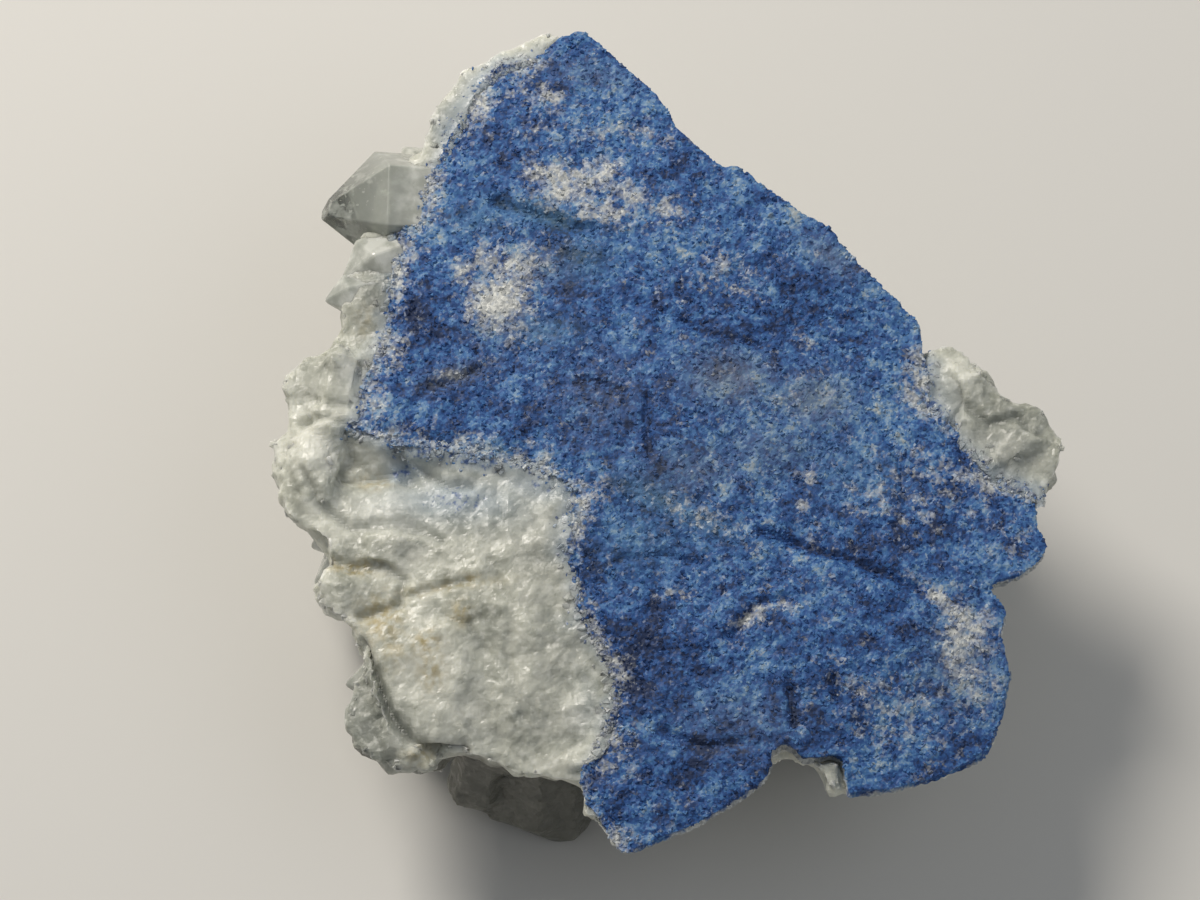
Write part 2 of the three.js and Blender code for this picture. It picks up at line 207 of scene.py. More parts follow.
def camera_aim():
    """The point that the middle of the frame shows, in millimetres of the part's frame."""
    right, up, _ = camera_axes()
    scale = FRAME_WIDTH / FRAME_PIXELS[0]
    across = (FRAME_PIXELS[0] / 2 - FACE_CENTRE_PIXEL[0]) * scale
    down = (FRAME_PIXELS[1] / 2 - FACE_CENTRE_PIXEL[1]) * scale
    return FACE_PLACE + right * across - up * down


def from_photo(pixels):
    """Pixels of the photo's 1200 x 900 frame as (u, v) on the plane of the face."""
    right, up, forward = camera_axes()
    eye = camera_aim() - forward * CAMERA_DISTANCE
    scale = FRAME_WIDTH / FRAME_PIXELS[0] / CAMERA_DISTANCE
    pixels = np.atleast_2d(np.asarray(pixels, dtype=float))
    across = (pixels[:, :1] - FRAME_PIXELS[0] / 2) * scale
    down = (pixels[:, 1:2] - FRAME_PIXELS[1] / 2) * scale
    rays = forward + right * across - up * down
    start = to_face(eye[None] * MM)[0]
    ends = to_face((eye + rays) * MM) - start
    reach = -start[2] / ends[:, 2:3]
    return (start + ends * reach)[:, :2]


# Repeatable random numbers and noise

def scatter(n):
    """The same repeatable number from 0 to 1 for n as in the part's source."""
    s = math.sin(n * 12.9898 + 4.137) * 43758.5453
    return s - math.floor(s)


def spread(n, low, high):
    """The same repeatable number between two limits for n as in the part's source."""
    return low + (high - low) * scatter(n)


def hashed(cells, seed, count):
    """Numbers from 0 to 1 for each lattice cell, the same on every run."""
    mask = 0xFFFFFFFF
    x, y, z = cells.astype(np.int64).T
    state = (x * 73856093 ^ y * 19349663 ^ z * 83492791 ^ (seed + 1) * 2654435761) & mask
    numbers = []
    for _ in range(count):
        state = ((state ^ (state >> 15)) * 2246822519) & mask
        state = ((state ^ (state >> 13)) * 3266489917) & mask
        state = state ^ (state >> 16)
        numbers.append(state / mask)
    return np.stack(numbers, axis=1)


def soft_noise(points, size, seed):
    """Smooth noise from -1 to 1 with features of about that size."""
    place = points / size
    cell = np.floor(place)
    part = place - cell
    part = part * part * (3 - 2 * part)
    total = np.zeros(len(points))
    for corner in np.ndindex(2, 2, 2):
        weight = np.prod(np.where(np.array(corner), part, 1 - part), axis=1)
        total += weight * hashed(cell + np.array(corner), seed, 1)[:, 0]
    return 2 * total - 1


def layered_noise(points, size, seed):
    """Soft noise in three halving sizes, from about -1 to 1."""
    layers = 3
    total = np.zeros(len(points))
    for k in range(layers):
        total += soft_noise(points, size / 2 ** k, seed + k) / 2 ** k
    return total / (2 - 2.0 ** (1 - layers))


def blocky(points, size, seed):
    """The height of intergrown blocks of about that size: flat facets that meet in creases and corners."""
    place = points / size
    cell = np.floor(place)
    height = np.full(len(points), -9.0)
    for offset in np.ndindex(3, 3, 3):
        near = cell + np.array(offset) - 1
        numbers = hashed(near, seed, 7)
        away = place - near - numbers[:, :3]
        turn = numbers[:, 3:6] * 2 - 1
        length = np.maximum(np.linalg.norm(turn, axis=1, keepdims=True), 1e-6)
        first = turn / length
        side = np.cross(first, np.array([0.36, 0.48, 0.8]))
        second = side / np.maximum(np.linalg.norm(side, axis=1, keepdims=True), 1e-6)
        third = np.cross(first, second)
        reach = np.max([np.abs((away * axis).sum(axis=1)) for axis in (first, second, third)], axis=0)
        height = np.maximum(height, BLOCK_UNEVENNESS * numbers[:, 6] - reach)
    return height


def relief(points, kind, calmed=0.0):
    """Relief of that kind in millimetres, lower by the calmed millimetres."""
    return (kind.height - calmed) * (blocky(points, kind.size, kind.seed) + kind.centring)


def fall_off(distance, width):
    """From 1 at no distance down to almost 0 at twice the width."""
    return np.exp(-(distance / width) ** 2)


def smooth(low, high, x):
    """From 0 at low to 1 at high with soft ends; low may also be the greater of the two."""
    t = np.clip((x - low) / (high - low), 0, 1)
    return t * t * (3 - 2 * t)


def unevenness(points, size, seed):
    """Soft patches of about that size, from 0 to 1."""
    return smooth(-0.5, 0.5, layered_noise(points, size, seed))


def line_distance(points, line):
    """Distance of each point from a line of several stretches."""
    nearest = np.full(len(points), 1e9)
    for a, b in zip(line[:-1], line[1:]):
        along = b - a
        share = np.clip(((points - a) @ along) / (along @ along), 0, 1)
        nearest = np.minimum(nearest, np.linalg.norm(points - a - share[:, None] * along, axis=1))
    return nearest


# Meshes

def mesh_arrays(mesh):
    """A mesh's corners and normals as arrays."""
    places = np.empty(len(mesh.vertices) * 3)
    mesh.vertices.foreach_get("co", places)
    normals = np.empty(len(mesh.vertices) * 3)
    mesh.vertex_normals.foreach_get("vector", normals)
    return places.reshape(-1, 3), normals.reshape(-1, 3)


def in_face_frame(places, normals):
    """Corners and normals in the face's frame, the corners in millimetres."""
    face = to_face(places)
    return face, to_face(places + normals * MM) - face


def set_places(mesh, places):
    """Moves the mesh's corners to those places."""
    mesh.vertices.foreach_set("co", np.ascontiguousarray(places, dtype=float).ravel())
    mesh.update()


def set_field(mesh, name, values):
    """Stores one number at each corner of the mesh, for its material to read."""
    field = mesh.attributes.get(name) or mesh.attributes.new(name, "FLOAT", "POINT")
    field.data.foreach_set("value", np.clip(values, 0, 1).astype(np.float32))


def new_object(name, data, material=None):
    """An object in the scene for a mesh, a lamp or a camera; a mesh may be given a material."""
    piece = bpy.data.objects.new(name, data)
    bpy.context.scene.collection.objects.link(piece)
    if material:
        data.materials.clear()
        data.materials.append(material)
    return piece


def baked(piece):
    """The piece's mesh with its modifiers applied."""
    graph = bpy.context.evaluated_depsgraph_get()
    return bpy.data.meshes.new_from_object(piece.evaluated_get(graph))


def remeshed(node, cell):
    """A copy of a CAD node's solid as an even net of small faces."""
    net = bmesh.new()
    net.from_mesh(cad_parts[node].data)
    bmesh.ops.remove_doubles(net, verts=net.verts, dist=1e-6)
    mesh = bpy.data.meshes.new(node + "_net")
    net.to_mesh(mesh)
    net.free()
    helper = new_object(node + "_net", mesh)
    modifier = helper.modifiers.new("Even net", "REMESH")
    modifier.mode = "VOXEL"
    modifier.voxel_size = cell
    smoother = helper.modifiers.new("Soft net", "SMOOTH")
    smoother.factor = 0.5
    smoother.iterations = 2
    result = baked(helper)
    bpy.data.objects.remove(helper)
    bpy.data.meshes.remove(mesh)
    return result


def covered(places, node, reach):
    """Which places lie close under a CAD node's solid, looking out of the blue face."""
    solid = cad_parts[node].data
    tree = BVHTree.FromPolygons([v.co for v in solid.vertices], [p.vertices for p in solid.polygons])
    out = Vector((0, -math.sin(FACE_LEAN), math.cos(FACE_LEAN)))
    return np.array([tree.ray_cast(Vector(place), out, reach)[0] is not None for place in places])


def refined(mesh, chosen):
    """Cuts each face of the mesh in four where all its corners are among the chosen ones."""
    net = bmesh.new()
    net.from_mesh(mesh)
    edges = [edge for edge in net.edges if all(chosen[corner.index] for corner in edge.verts)]
    bmesh.ops.subdivide_edges(net, edges=edges, cuts=1, use_grid_fill=True)
    net.to_mesh(mesh)
    net.free()


def join_meshes(name, parts):
    """One mesh of several lists of corners and faces, each with its numbers for the named fields."""
    corners, faces, fields = [], [], {}
    for part_corners, part_faces, part_fields in parts:
        start = len(corners)
        corners.extend(part_corners)
        faces.extend([tuple(start + i for i in face) for face in part_faces])
        for key, values in part_fields.items():
            fields.setdefault(key, []).extend(values)
    mesh = bpy.data.meshes.new(name)
    mesh.from_pydata([tuple(c) for c in corners], [], faces)
    mesh.update()
    for key, values in fields.items():
        set_field(mesh, key, np.array(values))
    return mesh


def finish_piece(piece, node):
    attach(piece, "root")
    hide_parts(node)


# The crystals, laid out by the same rules as in the part's source. Each is its root, the direction it
# points in, its radius, its length and how far it is turned about itself, in sixths of a turn.

LARGE_CRYSTALS = [
    ((-43, 26, -5.5), (-1, -0.2, 0.02), 3.9, 10.6, 0.4),
    ((-41, 32, -6.5), (-1, -0.42, 0.02), 5.4, 11, 0.5),
    ((-48, 10.4, -6.5), (-1, 0.12, 0.02), 7.4, 12.4, 0.35),
    ((-50, 13, -6), (-0.25, 0.14, 0.96), 2.6, 8.2, 0.1),
    ((-45, -11, -10), (-0.85, -0.28, -0.3), 4.4, 11.5, 0.7),
    ((-40, -36, -9), (-1, -0.1, -0.15), 3.4, 10, 0.5),
    ((-18.5, -38, -10), (-0.02, -0.46, -0.88), 9.6, 37, 0.45),
    ((-16.5, -41.5, -14), (0.04, -0.52, -0.84), 5.8, 30, 0.2),
    ((-26, -42, -10), (-0.16, -0.42, -0.88), 5.4, 25, 0.6),
    ((-35, -32, -12), (-0.06, -0.16, -0.97), 7.2, 33, 0.8),
    ((-40, -1, -14), (-0.14, 0.04, -0.98), 8, 38, 0.1),
    ((-42, 15, -16), (-0.5, 0.16, -0.85), 5.8, 20, 0.6),
    ((-31, 36, -16), (-0.42, 0.3, -0.85), 8, 29, 0.4),
    ((-15, 46, -14), (-0.06, 0.2, -0.98), 8.4, 40, 0.3),
    ((-2, 44, -14), (0.1, 0.44, -0.88), 5.8, 24, 0.9),
    ((16, 29, -14), (0.32, 0.42, -0.85), 7, 27, 0.7),
    ((38, 4, -14), (0.5, 0.2, -0.84), 5.4, 21, 0.2),
    ((36, -24, -12), (0.06, -0.02, -1), 8, 36, 0.2),
    ((31, 2, -12), (0.1, 0.1, -0.98), 7.4, 38, 0.5),
]
CRYSTAL_SIDES = 6
CLEAR_POINT = ((-38.5, 40.9, -7.5), (-1, -0.02, -0.02), 9.8, 16, 0.5)

# The clear point as it shows, deeper and steeper so that its outline is the photo's, how much of its tip is
# broken off, and the way the break faces.
CLEAR_POINT_SHOWN = ((-33, 41.2, -11.2), (-1, -0.02, 0.14), 9.9, 22.6, 0.5)
BLUNTED_TIP = 1.5
BREAK_FACING = (-1.0, 0.3, 0.5)

# Where the mass is drawn in under the clear point: a place from its root, and the share of the way along
# each axis.
POINT_SEAT = (-4.0, 0, -1.5)
SHARE_DRAWN = (0.9, 0.35, 0.35)

# Steps in height between the level ends that the cluster lies on, so that no two ends share a plane.
END_STEP = 0.01
END_STEPS = 5

# Crystals that are broken and grown over, so that the mass shows them: the left block, the stub on it and
# the three at the front. The mass has this share of its relief on them.
ROUGH_CRYSTALS = (3, 4, 7, 8, 9)
ROUGH_SHARE = 0.4

# How much larger a crystal shows than the solid that it covers, how far from it the mass keeps its relief
# back, and how far its edges are rounded, as a share of its radius and a least width.
CRYSTAL_SWELL = 0.15
CRYSTAL_MARGIN = 0.6
CRYSTAL_WEAR = 0.05
CLEAR_POINT_WEAR = 0.01
LEAST_WEAR = 0.1


def reach_of(outline, angle):
    """Distance from the middle to the outline in that direction."""
    along = np.array([math.cos(angle), math.sin(angle)])
    reach = 0.0
    for i, start in enumerate(outline):
        a = np.array(start, dtype=float)
        edge = np.array(outline[(i + 1) % len(outline)]) - a
        cross = along[0] * edge[1] - along[1] * edge[0]
        if abs(cross) < 1e-9:
            continue
        distance = (a[0] * edge[1] - a[1] * edge[0]) / cross
        share = (a[0] * along[1] - a[1] * along[0]) / cross
        if distance > 0 and 0 <= share <= 1:
            reach = max(reach, distance)
    return reach


def openness(angle):
    """How free a side is for crystals that point outwards."""
    return float(smooth(-0.2, 0.8, math.cos(angle - math.radians(125))))


def underside_crystals():
    """The crystals that point down from the underside, in a spiral from its middle."""
    golden = math.pi * (3 - math.sqrt(5))
    found = []
    for i in range(UNDERSIDE_CRYSTALS):
        angle = i * golden
        share = math.sqrt((i + 0.5) / UNDERSIDE_CRYSTALS)
        reach = reach_of(MASS_EDGE, angle) * share * 0.88
        lean = share * (0.15 + 0.7 * openness(angle)) + spread(i + 0.9, -0.25, 0.25)
        swing = angle + spread(i, -0.9, 0.9)
        size = scatter(i + 0.2) ** 1.5
        root = (math.cos(angle) * reach, math.sin(angle) * reach, -MASS_THICKNESS + 9)
        toward = (math.cos(swing) * lean, math.sin(swing) * lean, -1)
        length = 18 + 9 * size + spread(i + 0.5, -2, 3) + root[1] * math.sin(FACE_LEAN)
        found.append((root, toward, 4.3 + 4.7 * size, length, scatter(i + 0.7)))
    return found


def rim_crystals():
    """The crystals that point outwards around the edge of the mass."""
    found = []
    for i in range(RIM_CRYSTALS):
        angle = 2 * math.pi * (i + spread(i + 0.3, -0.3, 0.3)) / RIM_CRYSTALS
        reach = reach_of(MASS_EDGE, angle) * 0.86
        free = openness(angle)
        root = (math.cos(angle) * reach, math.sin(angle) * reach, -14 - 7 * scatter(i + 0.1))
        down = spread(i + 0.8, -0.5, -0.15) - 0.8 * (1 - free)
        toward = (math.cos(angle), math.sin(angle), down)
        length = spread(i + 0.4, 10, 13) + 2 * free
        found.append((root, toward, spread(i + 0.6, 3, 5.4), length, scatter(i + 0.5)))
    return found


def crystal_corners(spec, index):
    """The corners of a crystal in the face's frame: six at its root, six at its shoulder and its tip."""
    root, toward, radius, length, turn = spec
    tip_height = QUARTZ_TIP_SLOPE * math.cos(math.pi / CRYSTAL_SIDES) * radius
    shoulder = max(length - tip_height, length * 0.25)
    corners = []
    for level, scale in ((0, 0.93), (shoulder, 1)):
        for i in range(CRYSTAL_SIDES):
            angle = (i + turn) * 2 * math.pi / CRYSTAL_SIDES
            uneven = spread(index * 7 + i, -0.22, 0.22) * tip_height if level else 0
            across, along = math.cos(angle) * radius * scale, math.sin(angle) * radius * scale
            corners.append(Vector((across, along, level + uneven)))
    aside = (spread(index + 0.4, -0.16, 0.16), spread(index + 0.6, -0.16, 0.16))
    corners.append(Vector((aside[0] * radius, aside[1] * radius, length)))
    standing = Vector((0, 0, 1)).rotation_difference(Vector(toward).normalized())
    return [standing @ corner + Vector(root) for corner in corners]


def crystal_faces():
    """The faces of a crystal, as the numbers of its corners."""
    sides = CRYSTAL_SIDES
    faces = [tuple(reversed(range(sides)))]
    for i in range(sides):
        after = (i + 1) % sides
        faces.append((i, after, sides + after, sides + i))
        faces.append((sides + i, sides + after, 2 * sides))
    return faces


# Materials

TEAL = srgb("#5A8098")
BROWNISH_GREY = srgb("#6B7076")
DULL_BONE = srgb("#9C9F9E")
BRIGHT_BONE = srgb("#D3D4CF")
CREAMY_WHITE = srgb("#D6D6CB")
# Painted shade, with clear quartz: the grey that the hollows, the creases and the lower parts of the quartz
# are taken to.
CLEAR_AND_SHADED_GREY = srgb("#777B74")
FLECK_WHITE = srgb("#E2E2DA")
# Painted light: the white of the lit tops of the quartz.
LIT_SPOT_WHITE = srgb("#E8E8E0")
TINTED_BLUE = srgb("#7C93AC")
# Painted shade: the smoky grey that the quartz at the front is darkened to, as if in the shadow under the
# slab.
FRONT_SHADE_GREY = srgb("#4C4A42")
CRYSTAL_GREYS = (srgb("#90948D"), srgb("#A8ABA4"), srgb("#C9CBC5"))
CLEAR_CRYSTAL = srgb("#D2D7D0")
STUDIO_BOARD = srgb("#D6D4CF")
STUDIO_SKY = srgb("#E6EAEE")

# How light bends in quartz and spreads in its milky parts.
QUARTZ_LIGHT = {
    "IOR": 1.544, "Subsurface Radius": (1.0, 0.97, 0.9), "Subsurface Scale": 2.5 * MM,
}
ROCK_IOR = 1.45


def add_node(tree, kind, links=None, **settings):
    """Adds a node with its properties set, and sets or links its inputs, given by name or number."""
    node = tree.nodes.new(kind)
    for key, value in settings.items():
        setattr(node, key, value)
    for socket, value in (links or {}).items():
        entry = node.inputs[socket]
        if isinstance(value, bpy.types.NodeSocket):
            tree.links.new(value, entry)
        else:
            entry.default_value = value
    return node


def new_material(name):
    """A material without nodes, and its node tree."""
    material = bpy.data.materials.new(name)
    material.use_nodes = True
    tree = material.node_tree
    tree.nodes.clear()
    return material, tree


def end_material(tree, sockets):
    """Ends a material with a shader that has those sockets set or linked."""
    shader = add_node(tree, "ShaderNodeBsdfPrincipled", sockets)
    add_node(tree, "ShaderNodeOutputMaterial", {"Surface": shader.outputs[0]})


def rgba(colour):
    """A colour or a grey as a colour socket takes it; an output of a node stays as it is."""
    if isinstance(colour, bpy.types.NodeSocket):
        return colour
    if isinstance(colour, float):
        return (colour, colour, colour, 1)
    return (*colour[:3], 1)


def mixed(tree, factor, first, second):
    """The colour between two colours, by a factor from 0 to 1."""
    sockets = {0: factor, 6: rgba(first), 7: rgba(second)}
    return add_node(tree, "ShaderNodeMix", sockets, data_type="RGBA").outputs[2]


def maths(tree, operation, first, second=0.0, third=0.0):
    """The result of a sum with up to three numbers."""
    return add_node(tree, "ShaderNodeMath", {0: first, 1: second, 2: third}, operation=operation).outputs[0]


def vector_maths(tree, operation, sockets):
    """The result of a sum with vectors, whose sockets are given."""
    return add_node(tree, "ShaderNodeVectorMath", sockets, operation=operation).outputs[0]


def field_of(tree, name):
    """The field of that name, as stored in the mesh."""
    return add_node(tree, "ShaderNodeAttribute", attribute_name=name).outputs["Fac"]


def share_of(tree, name, strength):
    """The field of that name times a strength."""
    return maths(tree, "MULTIPLY", field_of(tree, name), strength)


def texture(tree, kind, size, **sockets):
    """A texture on the object's own place, with features of that size in millimetres."""
    place = add_node(tree, "ShaderNodeTexCoord").outputs["Object"]
    return add_node(tree, kind, {"Vector": place, "Scale": 1 / (size * MM), **sockets}).outputs


def grain_cells(tree, size):
    """Two random numbers for each crystal grain of that size in millimetres."""
    cells = texture(tree, "ShaderNodeTexVoronoi", size)
    tone = add_node(tree, "ShaderNodeSeparateColor", {0: cells["Color"]})
    return tone.outputs[0], tone.outputs[1]


def faceted(tree, normal, size, tilt):
    """The normal turned a little for each grain of that size in millimetres, so that each catches the
    light alone."""
    cells = texture(tree, "ShaderNodeTexVoronoi", size)
    aside = vector_maths(tree, "SUBTRACT", {0: cells["Color"], 1: (0.5, 0.5, 0.5)})
    tilted = vector_maths(tree, "MULTIPLY_ADD", {0: aside, 1: (tilt, tilt, tilt), 2: normal})
    return vector_maths(tree, "NORMALIZE", {0: tilted})


def cloud(tree, size, detail=3.0):
    """Soft noise around a half, with features of that size in millimetres."""
    return texture(tree, "ShaderNodeTexNoise", size, Detail=detail)[0]


def bumped(tree, height, depth, strength=0.3):
    """The normal of a surface with a relief of that depth in millimetres."""
    sockets = {"Strength": strength, "Distance": depth * MM, "Height": height}
    return add_node(tree, "ShaderNodeBump", sockets).outputs[0]


def weighted(tree, *terms):
    """The sum of several numbers or sockets, each with its weight."""
    total = 0.0
    for value, weight in terms:
        total = maths(tree, "MULTIPLY_ADD", value, weight, third=total)
    return total


def ramp(tree, factor, stops):
    """A colour ramp; each stop is a place and a colour or a grey."""
    node = add_node(tree, "ShaderNodeValToRGB", {0: factor})
    elements = node.color_ramp.elements
    while len(elements) < len(stops):
        elements.new(0.5)
    for element, (place, colour) in zip(elements, stops):
        element.position = place
        element.color = rgba(colour)
    return node.outputs[0]


def dumortierite_material(colours, loose_grains):
    """Sugary dumortierite in quartz, as broken: matt blue specks well under a millimetre across, each
    catching the light its own way, from navy in the clumps to greyed blue and bone where the quartz
    between them shows."""
    material, tree = new_material("Dumortierite_sugary_broken")
    if loose_grains:
        tone = field_of(tree, "grain_tone")
        other = field_of(tree, "grain_other")
    else:
        tone, other = grain_cells(tree, colours.grain_size / MM)
    fine, fine_other = grain_cells(tree, 0.42)
    clump = cloud(tree, 3.2, 4.0)
    zone = cloud(tree, 16.0, 2.0)
    # Painted shade, besides the darker blue patches: the face is darker in its grooves and its hollows.
    dark = field_of(tree, "darkness_and_shade")
    level = weighted(tree, (tone, 0.3), (fine, 0.3), (clump, 1.3), (zone, 0.7), (dark, -0.3), (-0.84, 1.0))
    blue = ramp(tree, level, [
        (0.05, colours.navy), (0.36, colours.deep_blue), (0.58, colours.mid_blue), (0.8, colours.grey_blue),
        (1.0, colours.bone),
    ])
    teal = mixed(tree, share_of(tree, "tealness", 0.55), blue, TEAL)
    brown = mixed(tree, share_of(tree, "brownness", 0.6), teal, BROWNISH_GREY)
    pale_level = weighted(
        tree, (field_of(tree, "paleness_and_highlight"), 1.0), (other, 0.35), (fine_other, 0.3),
        (cloud(tree, 2.0, 4.0), 1.3), (dark, -0.15), (-0.98, 1.0),
    )
    pale_share = ramp(tree, pale_level, [(0.2, 0.0), (0.85, 1.0)])
    bone = mixed(tree, fine, DULL_BONE, BRIGHT_BONE)
    crumbs = weighted(tree, (fine, 1.0), (cloud(tree, 0.3), 0.5))
    end_material(tree, {
        "Base Color": mixed(tree, pale_share, brown, bone),
        "Roughness": weighted(tree, (fine_other, -0.3), (0.8, 1.0)),
        "Normal": bumped(tree, crumbs, 0.12, 0.5), "IOR": ROCK_IOR,
    })
    return material


def milky_quartz_material(colours, loose_grains):
    """Milky quartz, broken and grown together: cloudy white that light soaks into, greyer where it is clear,
    with small white flecks, a sugary glitter on its breaks and ochre iron stain in its creases. Painted shade
    greys its hollows, creases and lower parts and darkens it at the front, and painted light whitens its lit
    tops."""
    material, tree = new_material("Milky_quartz_vitreous")
    level = weighted(tree, (cloud(tree, 8.0, 4.0), 0.6), (cloud(tree, 2.2, 3.0), 0.4))
    if loose_grains:
        level = weighted(tree, (level, 1.0), (field_of(tree, "grain_tone"), 0.16), (-0.08, 1.0))
    white = ramp(tree, level, [
        (0.32, colours.grey_quartz), (0.5, colours.white_quartz), (0.66, CREAMY_WHITE),
    ])
    # Painted shade, where the quartz is also clear: greyer in its hollows, its creases and lower down.
    clear = mixed(tree, share_of(tree, "clearness_and_shade", 0.8), white, CLEAR_AND_SHADED_GREY)
    fleck_share = ramp(tree, cloud(tree, 1.1, 2.0), [(0.56, 0.0), (0.7, 0.35)])
    flecked = mixed(tree, fleck_share, clear, FLECK_WHITE)
    # Painted light: whiter on the lit tops and on a glint, where the quartz is partly whiter too.
    bright = mixed(tree, share_of(tree, "painted_light", 0.6), flecked, LIT_SPOT_WHITE)
    streaks = ramp(tree, cloud(tree, 1.2), [(0.38, 0.1), (0.62, 0.85)])
    stained = mixed(tree, share_of(tree, "stain", streaks), bright, colours.iron_stain)
    tinted = mixed(tree, share_of(tree, "blueness", 0.75), stained, TINTED_BLUE)
    speck_level = weighted(tree, (field_of(tree, "blueness"), 1.0), (cloud(tree, 0.9, 3.0), 1.6), (-0.9, 1.0))
    speck_share = ramp(tree, speck_level, [(0.62, 0.0), (0.9, 0.85)])
    specked = mixed(tree, speck_share, tinted, colours.deep_blue)
    glint, _ = grain_cells(tree, 0.9)
    end_material(tree, {
        # Painted shade: the quartz at the front is darkened to a smoky grey, as if in the shadow under the
        # slab.
        "Base Color": mixed(tree, share_of(tree, "front_shade", 0.8), specked, FRONT_SHADE_GREY),
        "Roughness": weighted(tree, (glint, -0.32), (0.62, 1.0)),
        "Normal": faceted(tree, bumped(tree, cloud(tree, 0.6), 0.2), 1.3, 0.3),
        "Subsurface Weight": 0.85, **QUARTZ_LIGHT,
    })
    return material


def grown_quartz_material(colours):
    """Grown quartz crystals: smooth wet-looking faces, milky with white veils at the root, greyer
    towards the tip, and where the point is clear light goes through it and bends at its faces."""
    material, tree = new_material("Quartz_crystal_milky_to_clear")
    clearness_and_shade = field_of(tree, "clearness_and_shade")
    wisps = weighted(tree, (cloud(tree, 2.6, 4.0), 1.0), (clearness_and_shade, -0.1))
    veil = ramp(tree, wisps, [(0.4, 0.05), (0.6, 0.85)])
    cloudy = ramp(tree, clearness_and_shade, [(0.35, 1.0), (0.85, 0.05)])
    flecks = ramp(tree, cloud(tree, 0.9, 2.0), [(0.62, 0.0), (0.68, 0.8)])
    milk = maths(tree, "MAXIMUM", maths(tree, "MAXIMUM", veil, cloudy), flecks)
    level = weighted(tree, (cloud(tree, 3.0, 4.0), 1.0), (clearness_and_shade, -0.45), (0.14, 1.0))
    milky = ramp(tree, level, list(zip((0.25, 0.45, 0.62), CRYSTAL_GREYS)))
    stained = mixed(tree, share_of(tree, "stain", 0.5), milky, colours.iron_stain)
    end_material(tree, {
        "Base Color": mixed(tree, milk, CLEAR_CRYSTAL, stained),
        "Roughness": weighted(tree, (milk, 0.2), (cloud(tree, 1.2), 0.1), (0.01, 1.0)),
        "Normal": bumped(tree, cloud(tree, 1.1), 0.12),
        "Transmission Weight": weighted(tree, (milk, -0.95), (0.95, 1.0)),
        "Subsurface Weight": 0.6, **QUARTZ_LIGHT,
    })
    return material


def floor_material():
    """Pale studio board: matt and even, so that only the object's shadow shows on it."""
    material, tree = new_material("Studio_board_pale_matt")
    end_material(tree, {"Base Color": rgba(STUDIO_BOARD), "Roughness": 0.9})
    return material


# Patches of colour read off the photo, each a pixel, two half sizes in pixels, a turn in degrees and a
# strength. The blue face has pale ones, two of them painted highlights along a ledge, and dark, brown and
# teal ones. The quartz has blue tints, iron stains, hollows greyed by painted shade where it is also clear,
# and spots of painted light on its lit tops, some of them whiter quartz too.
PALE_AND_LIT_PATCHES = [
    (497, 298, 28, 30, 0, 1.0), (520, 262, 34, 22, -15, 0.62), (462, 268, 18, 16, 0, 0.62),
    (490, 255, 26, 14, 10, 0.6), (558, 180, 34, 24, 25, 0.86), (603, 172, 22, 16, 0, 0.74),
    (628, 192, 26, 18, 15, 0.74), (668, 208, 26, 16, 20, 0.58), (600, 208, 46, 14, 10, 0.6),
    (545, 90, 28, 12, 20, 0.5), (525, 70, 18, 10, 10, 0.4), (640, 130, 30, 12, 25, 0.36),
    (965, 635, 22, 34, 20, 0.72), (950, 605, 44, 9, 40, 0.8), (968, 680, 30, 30, 0, 0.46),
    (803, 342, 10, 9, 0, 0.62), (790, 400, 12, 9, 0, 0.5), (808, 478, 9, 8, 0, 0.56),
    (803, 505, 7, 7, 0, 0.5), (870, 495, 9, 8, 0, 0.5), (672, 590, 8, 4, 0, 0.66),
    # Painted highlights: the two patches along the ledge, where the light catches it.
    (688, 595, 6, 4, 0, 0.66), (750, 618, 30, 9, -42, 0.62), (780, 604, 22, 8, 0, 0.56),
    (455, 372, 26, 8, -20, 0.5), (388, 345, 22, 30, 0, 0.52), (378, 405, 14, 26, 0, 0.5),
    (925, 470, 24, 30, 0, 0.36), (980, 480, 30, 14, 10, 0.42), (880, 700, 60, 50, 0, 0.34),
    (900, 500, 60, 50, 0, 0.3), (720, 270, 40, 20, 20, 0.3), (590, 215, 60, 8, 15, 0.5),
    (560, 130, 60, 20, 0, 0.26), (700, 515, 60, 14, 22, 0.34), (610, 760, 30, 26, 0, 0.3),
    (1015, 540, 16, 24, 0, 0.34),
]
DARK_PATCHES = [
    (425, 300, 34, 46, 0, 0.9), (580, 280, 34, 50, 0, 0.7), (650, 660, 56, 44, 0, 0.8),
    (880, 655, 46, 44, 0, 0.5), (865, 550, 24, 16, 0, 0.7), (690, 760, 80, 34, -20, 0.8),
    (560, 245, 28, 16, 10, 0.7), (470, 405, 50, 26, 10, 0.6), (620, 420, 40, 70, 0, 0.35),
    (740, 330, 60, 40, 0, 0.3), (500, 140, 40, 24, 0, 0.35), (800, 640, 40, 40, 0, 0.5),
    (590, 575, 14, 40, 0, 0.6), (840, 720, 50, 30, 0, 0.5), (930, 540, 40, 26, 0, 0.3),
    (1000, 520, 24, 30, 0, 0.3),
]
BROWN_PATCHES = [
    (730, 378, 40, 26, 0, 0.9), (815, 398, 36, 26, 0, 0.8), (455, 373, 30, 10, -18, 0.8),
    (540, 265, 26, 20, 0, 0.5), (500, 320, 30, 18, 0, 0.5), (690, 470, 50, 24, 0, 0.5),
    (770, 450, 50, 30, 0, 0.4), (830, 255, 30, 14, 35, 0.6), (600, 400, 40, 40, 0, 0.3),
    (960, 660, 30, 40, 0, 0.6), (740, 720, 60, 30, 0, 0.3), (590, 70, 40, 14, 10, 0.4),
]
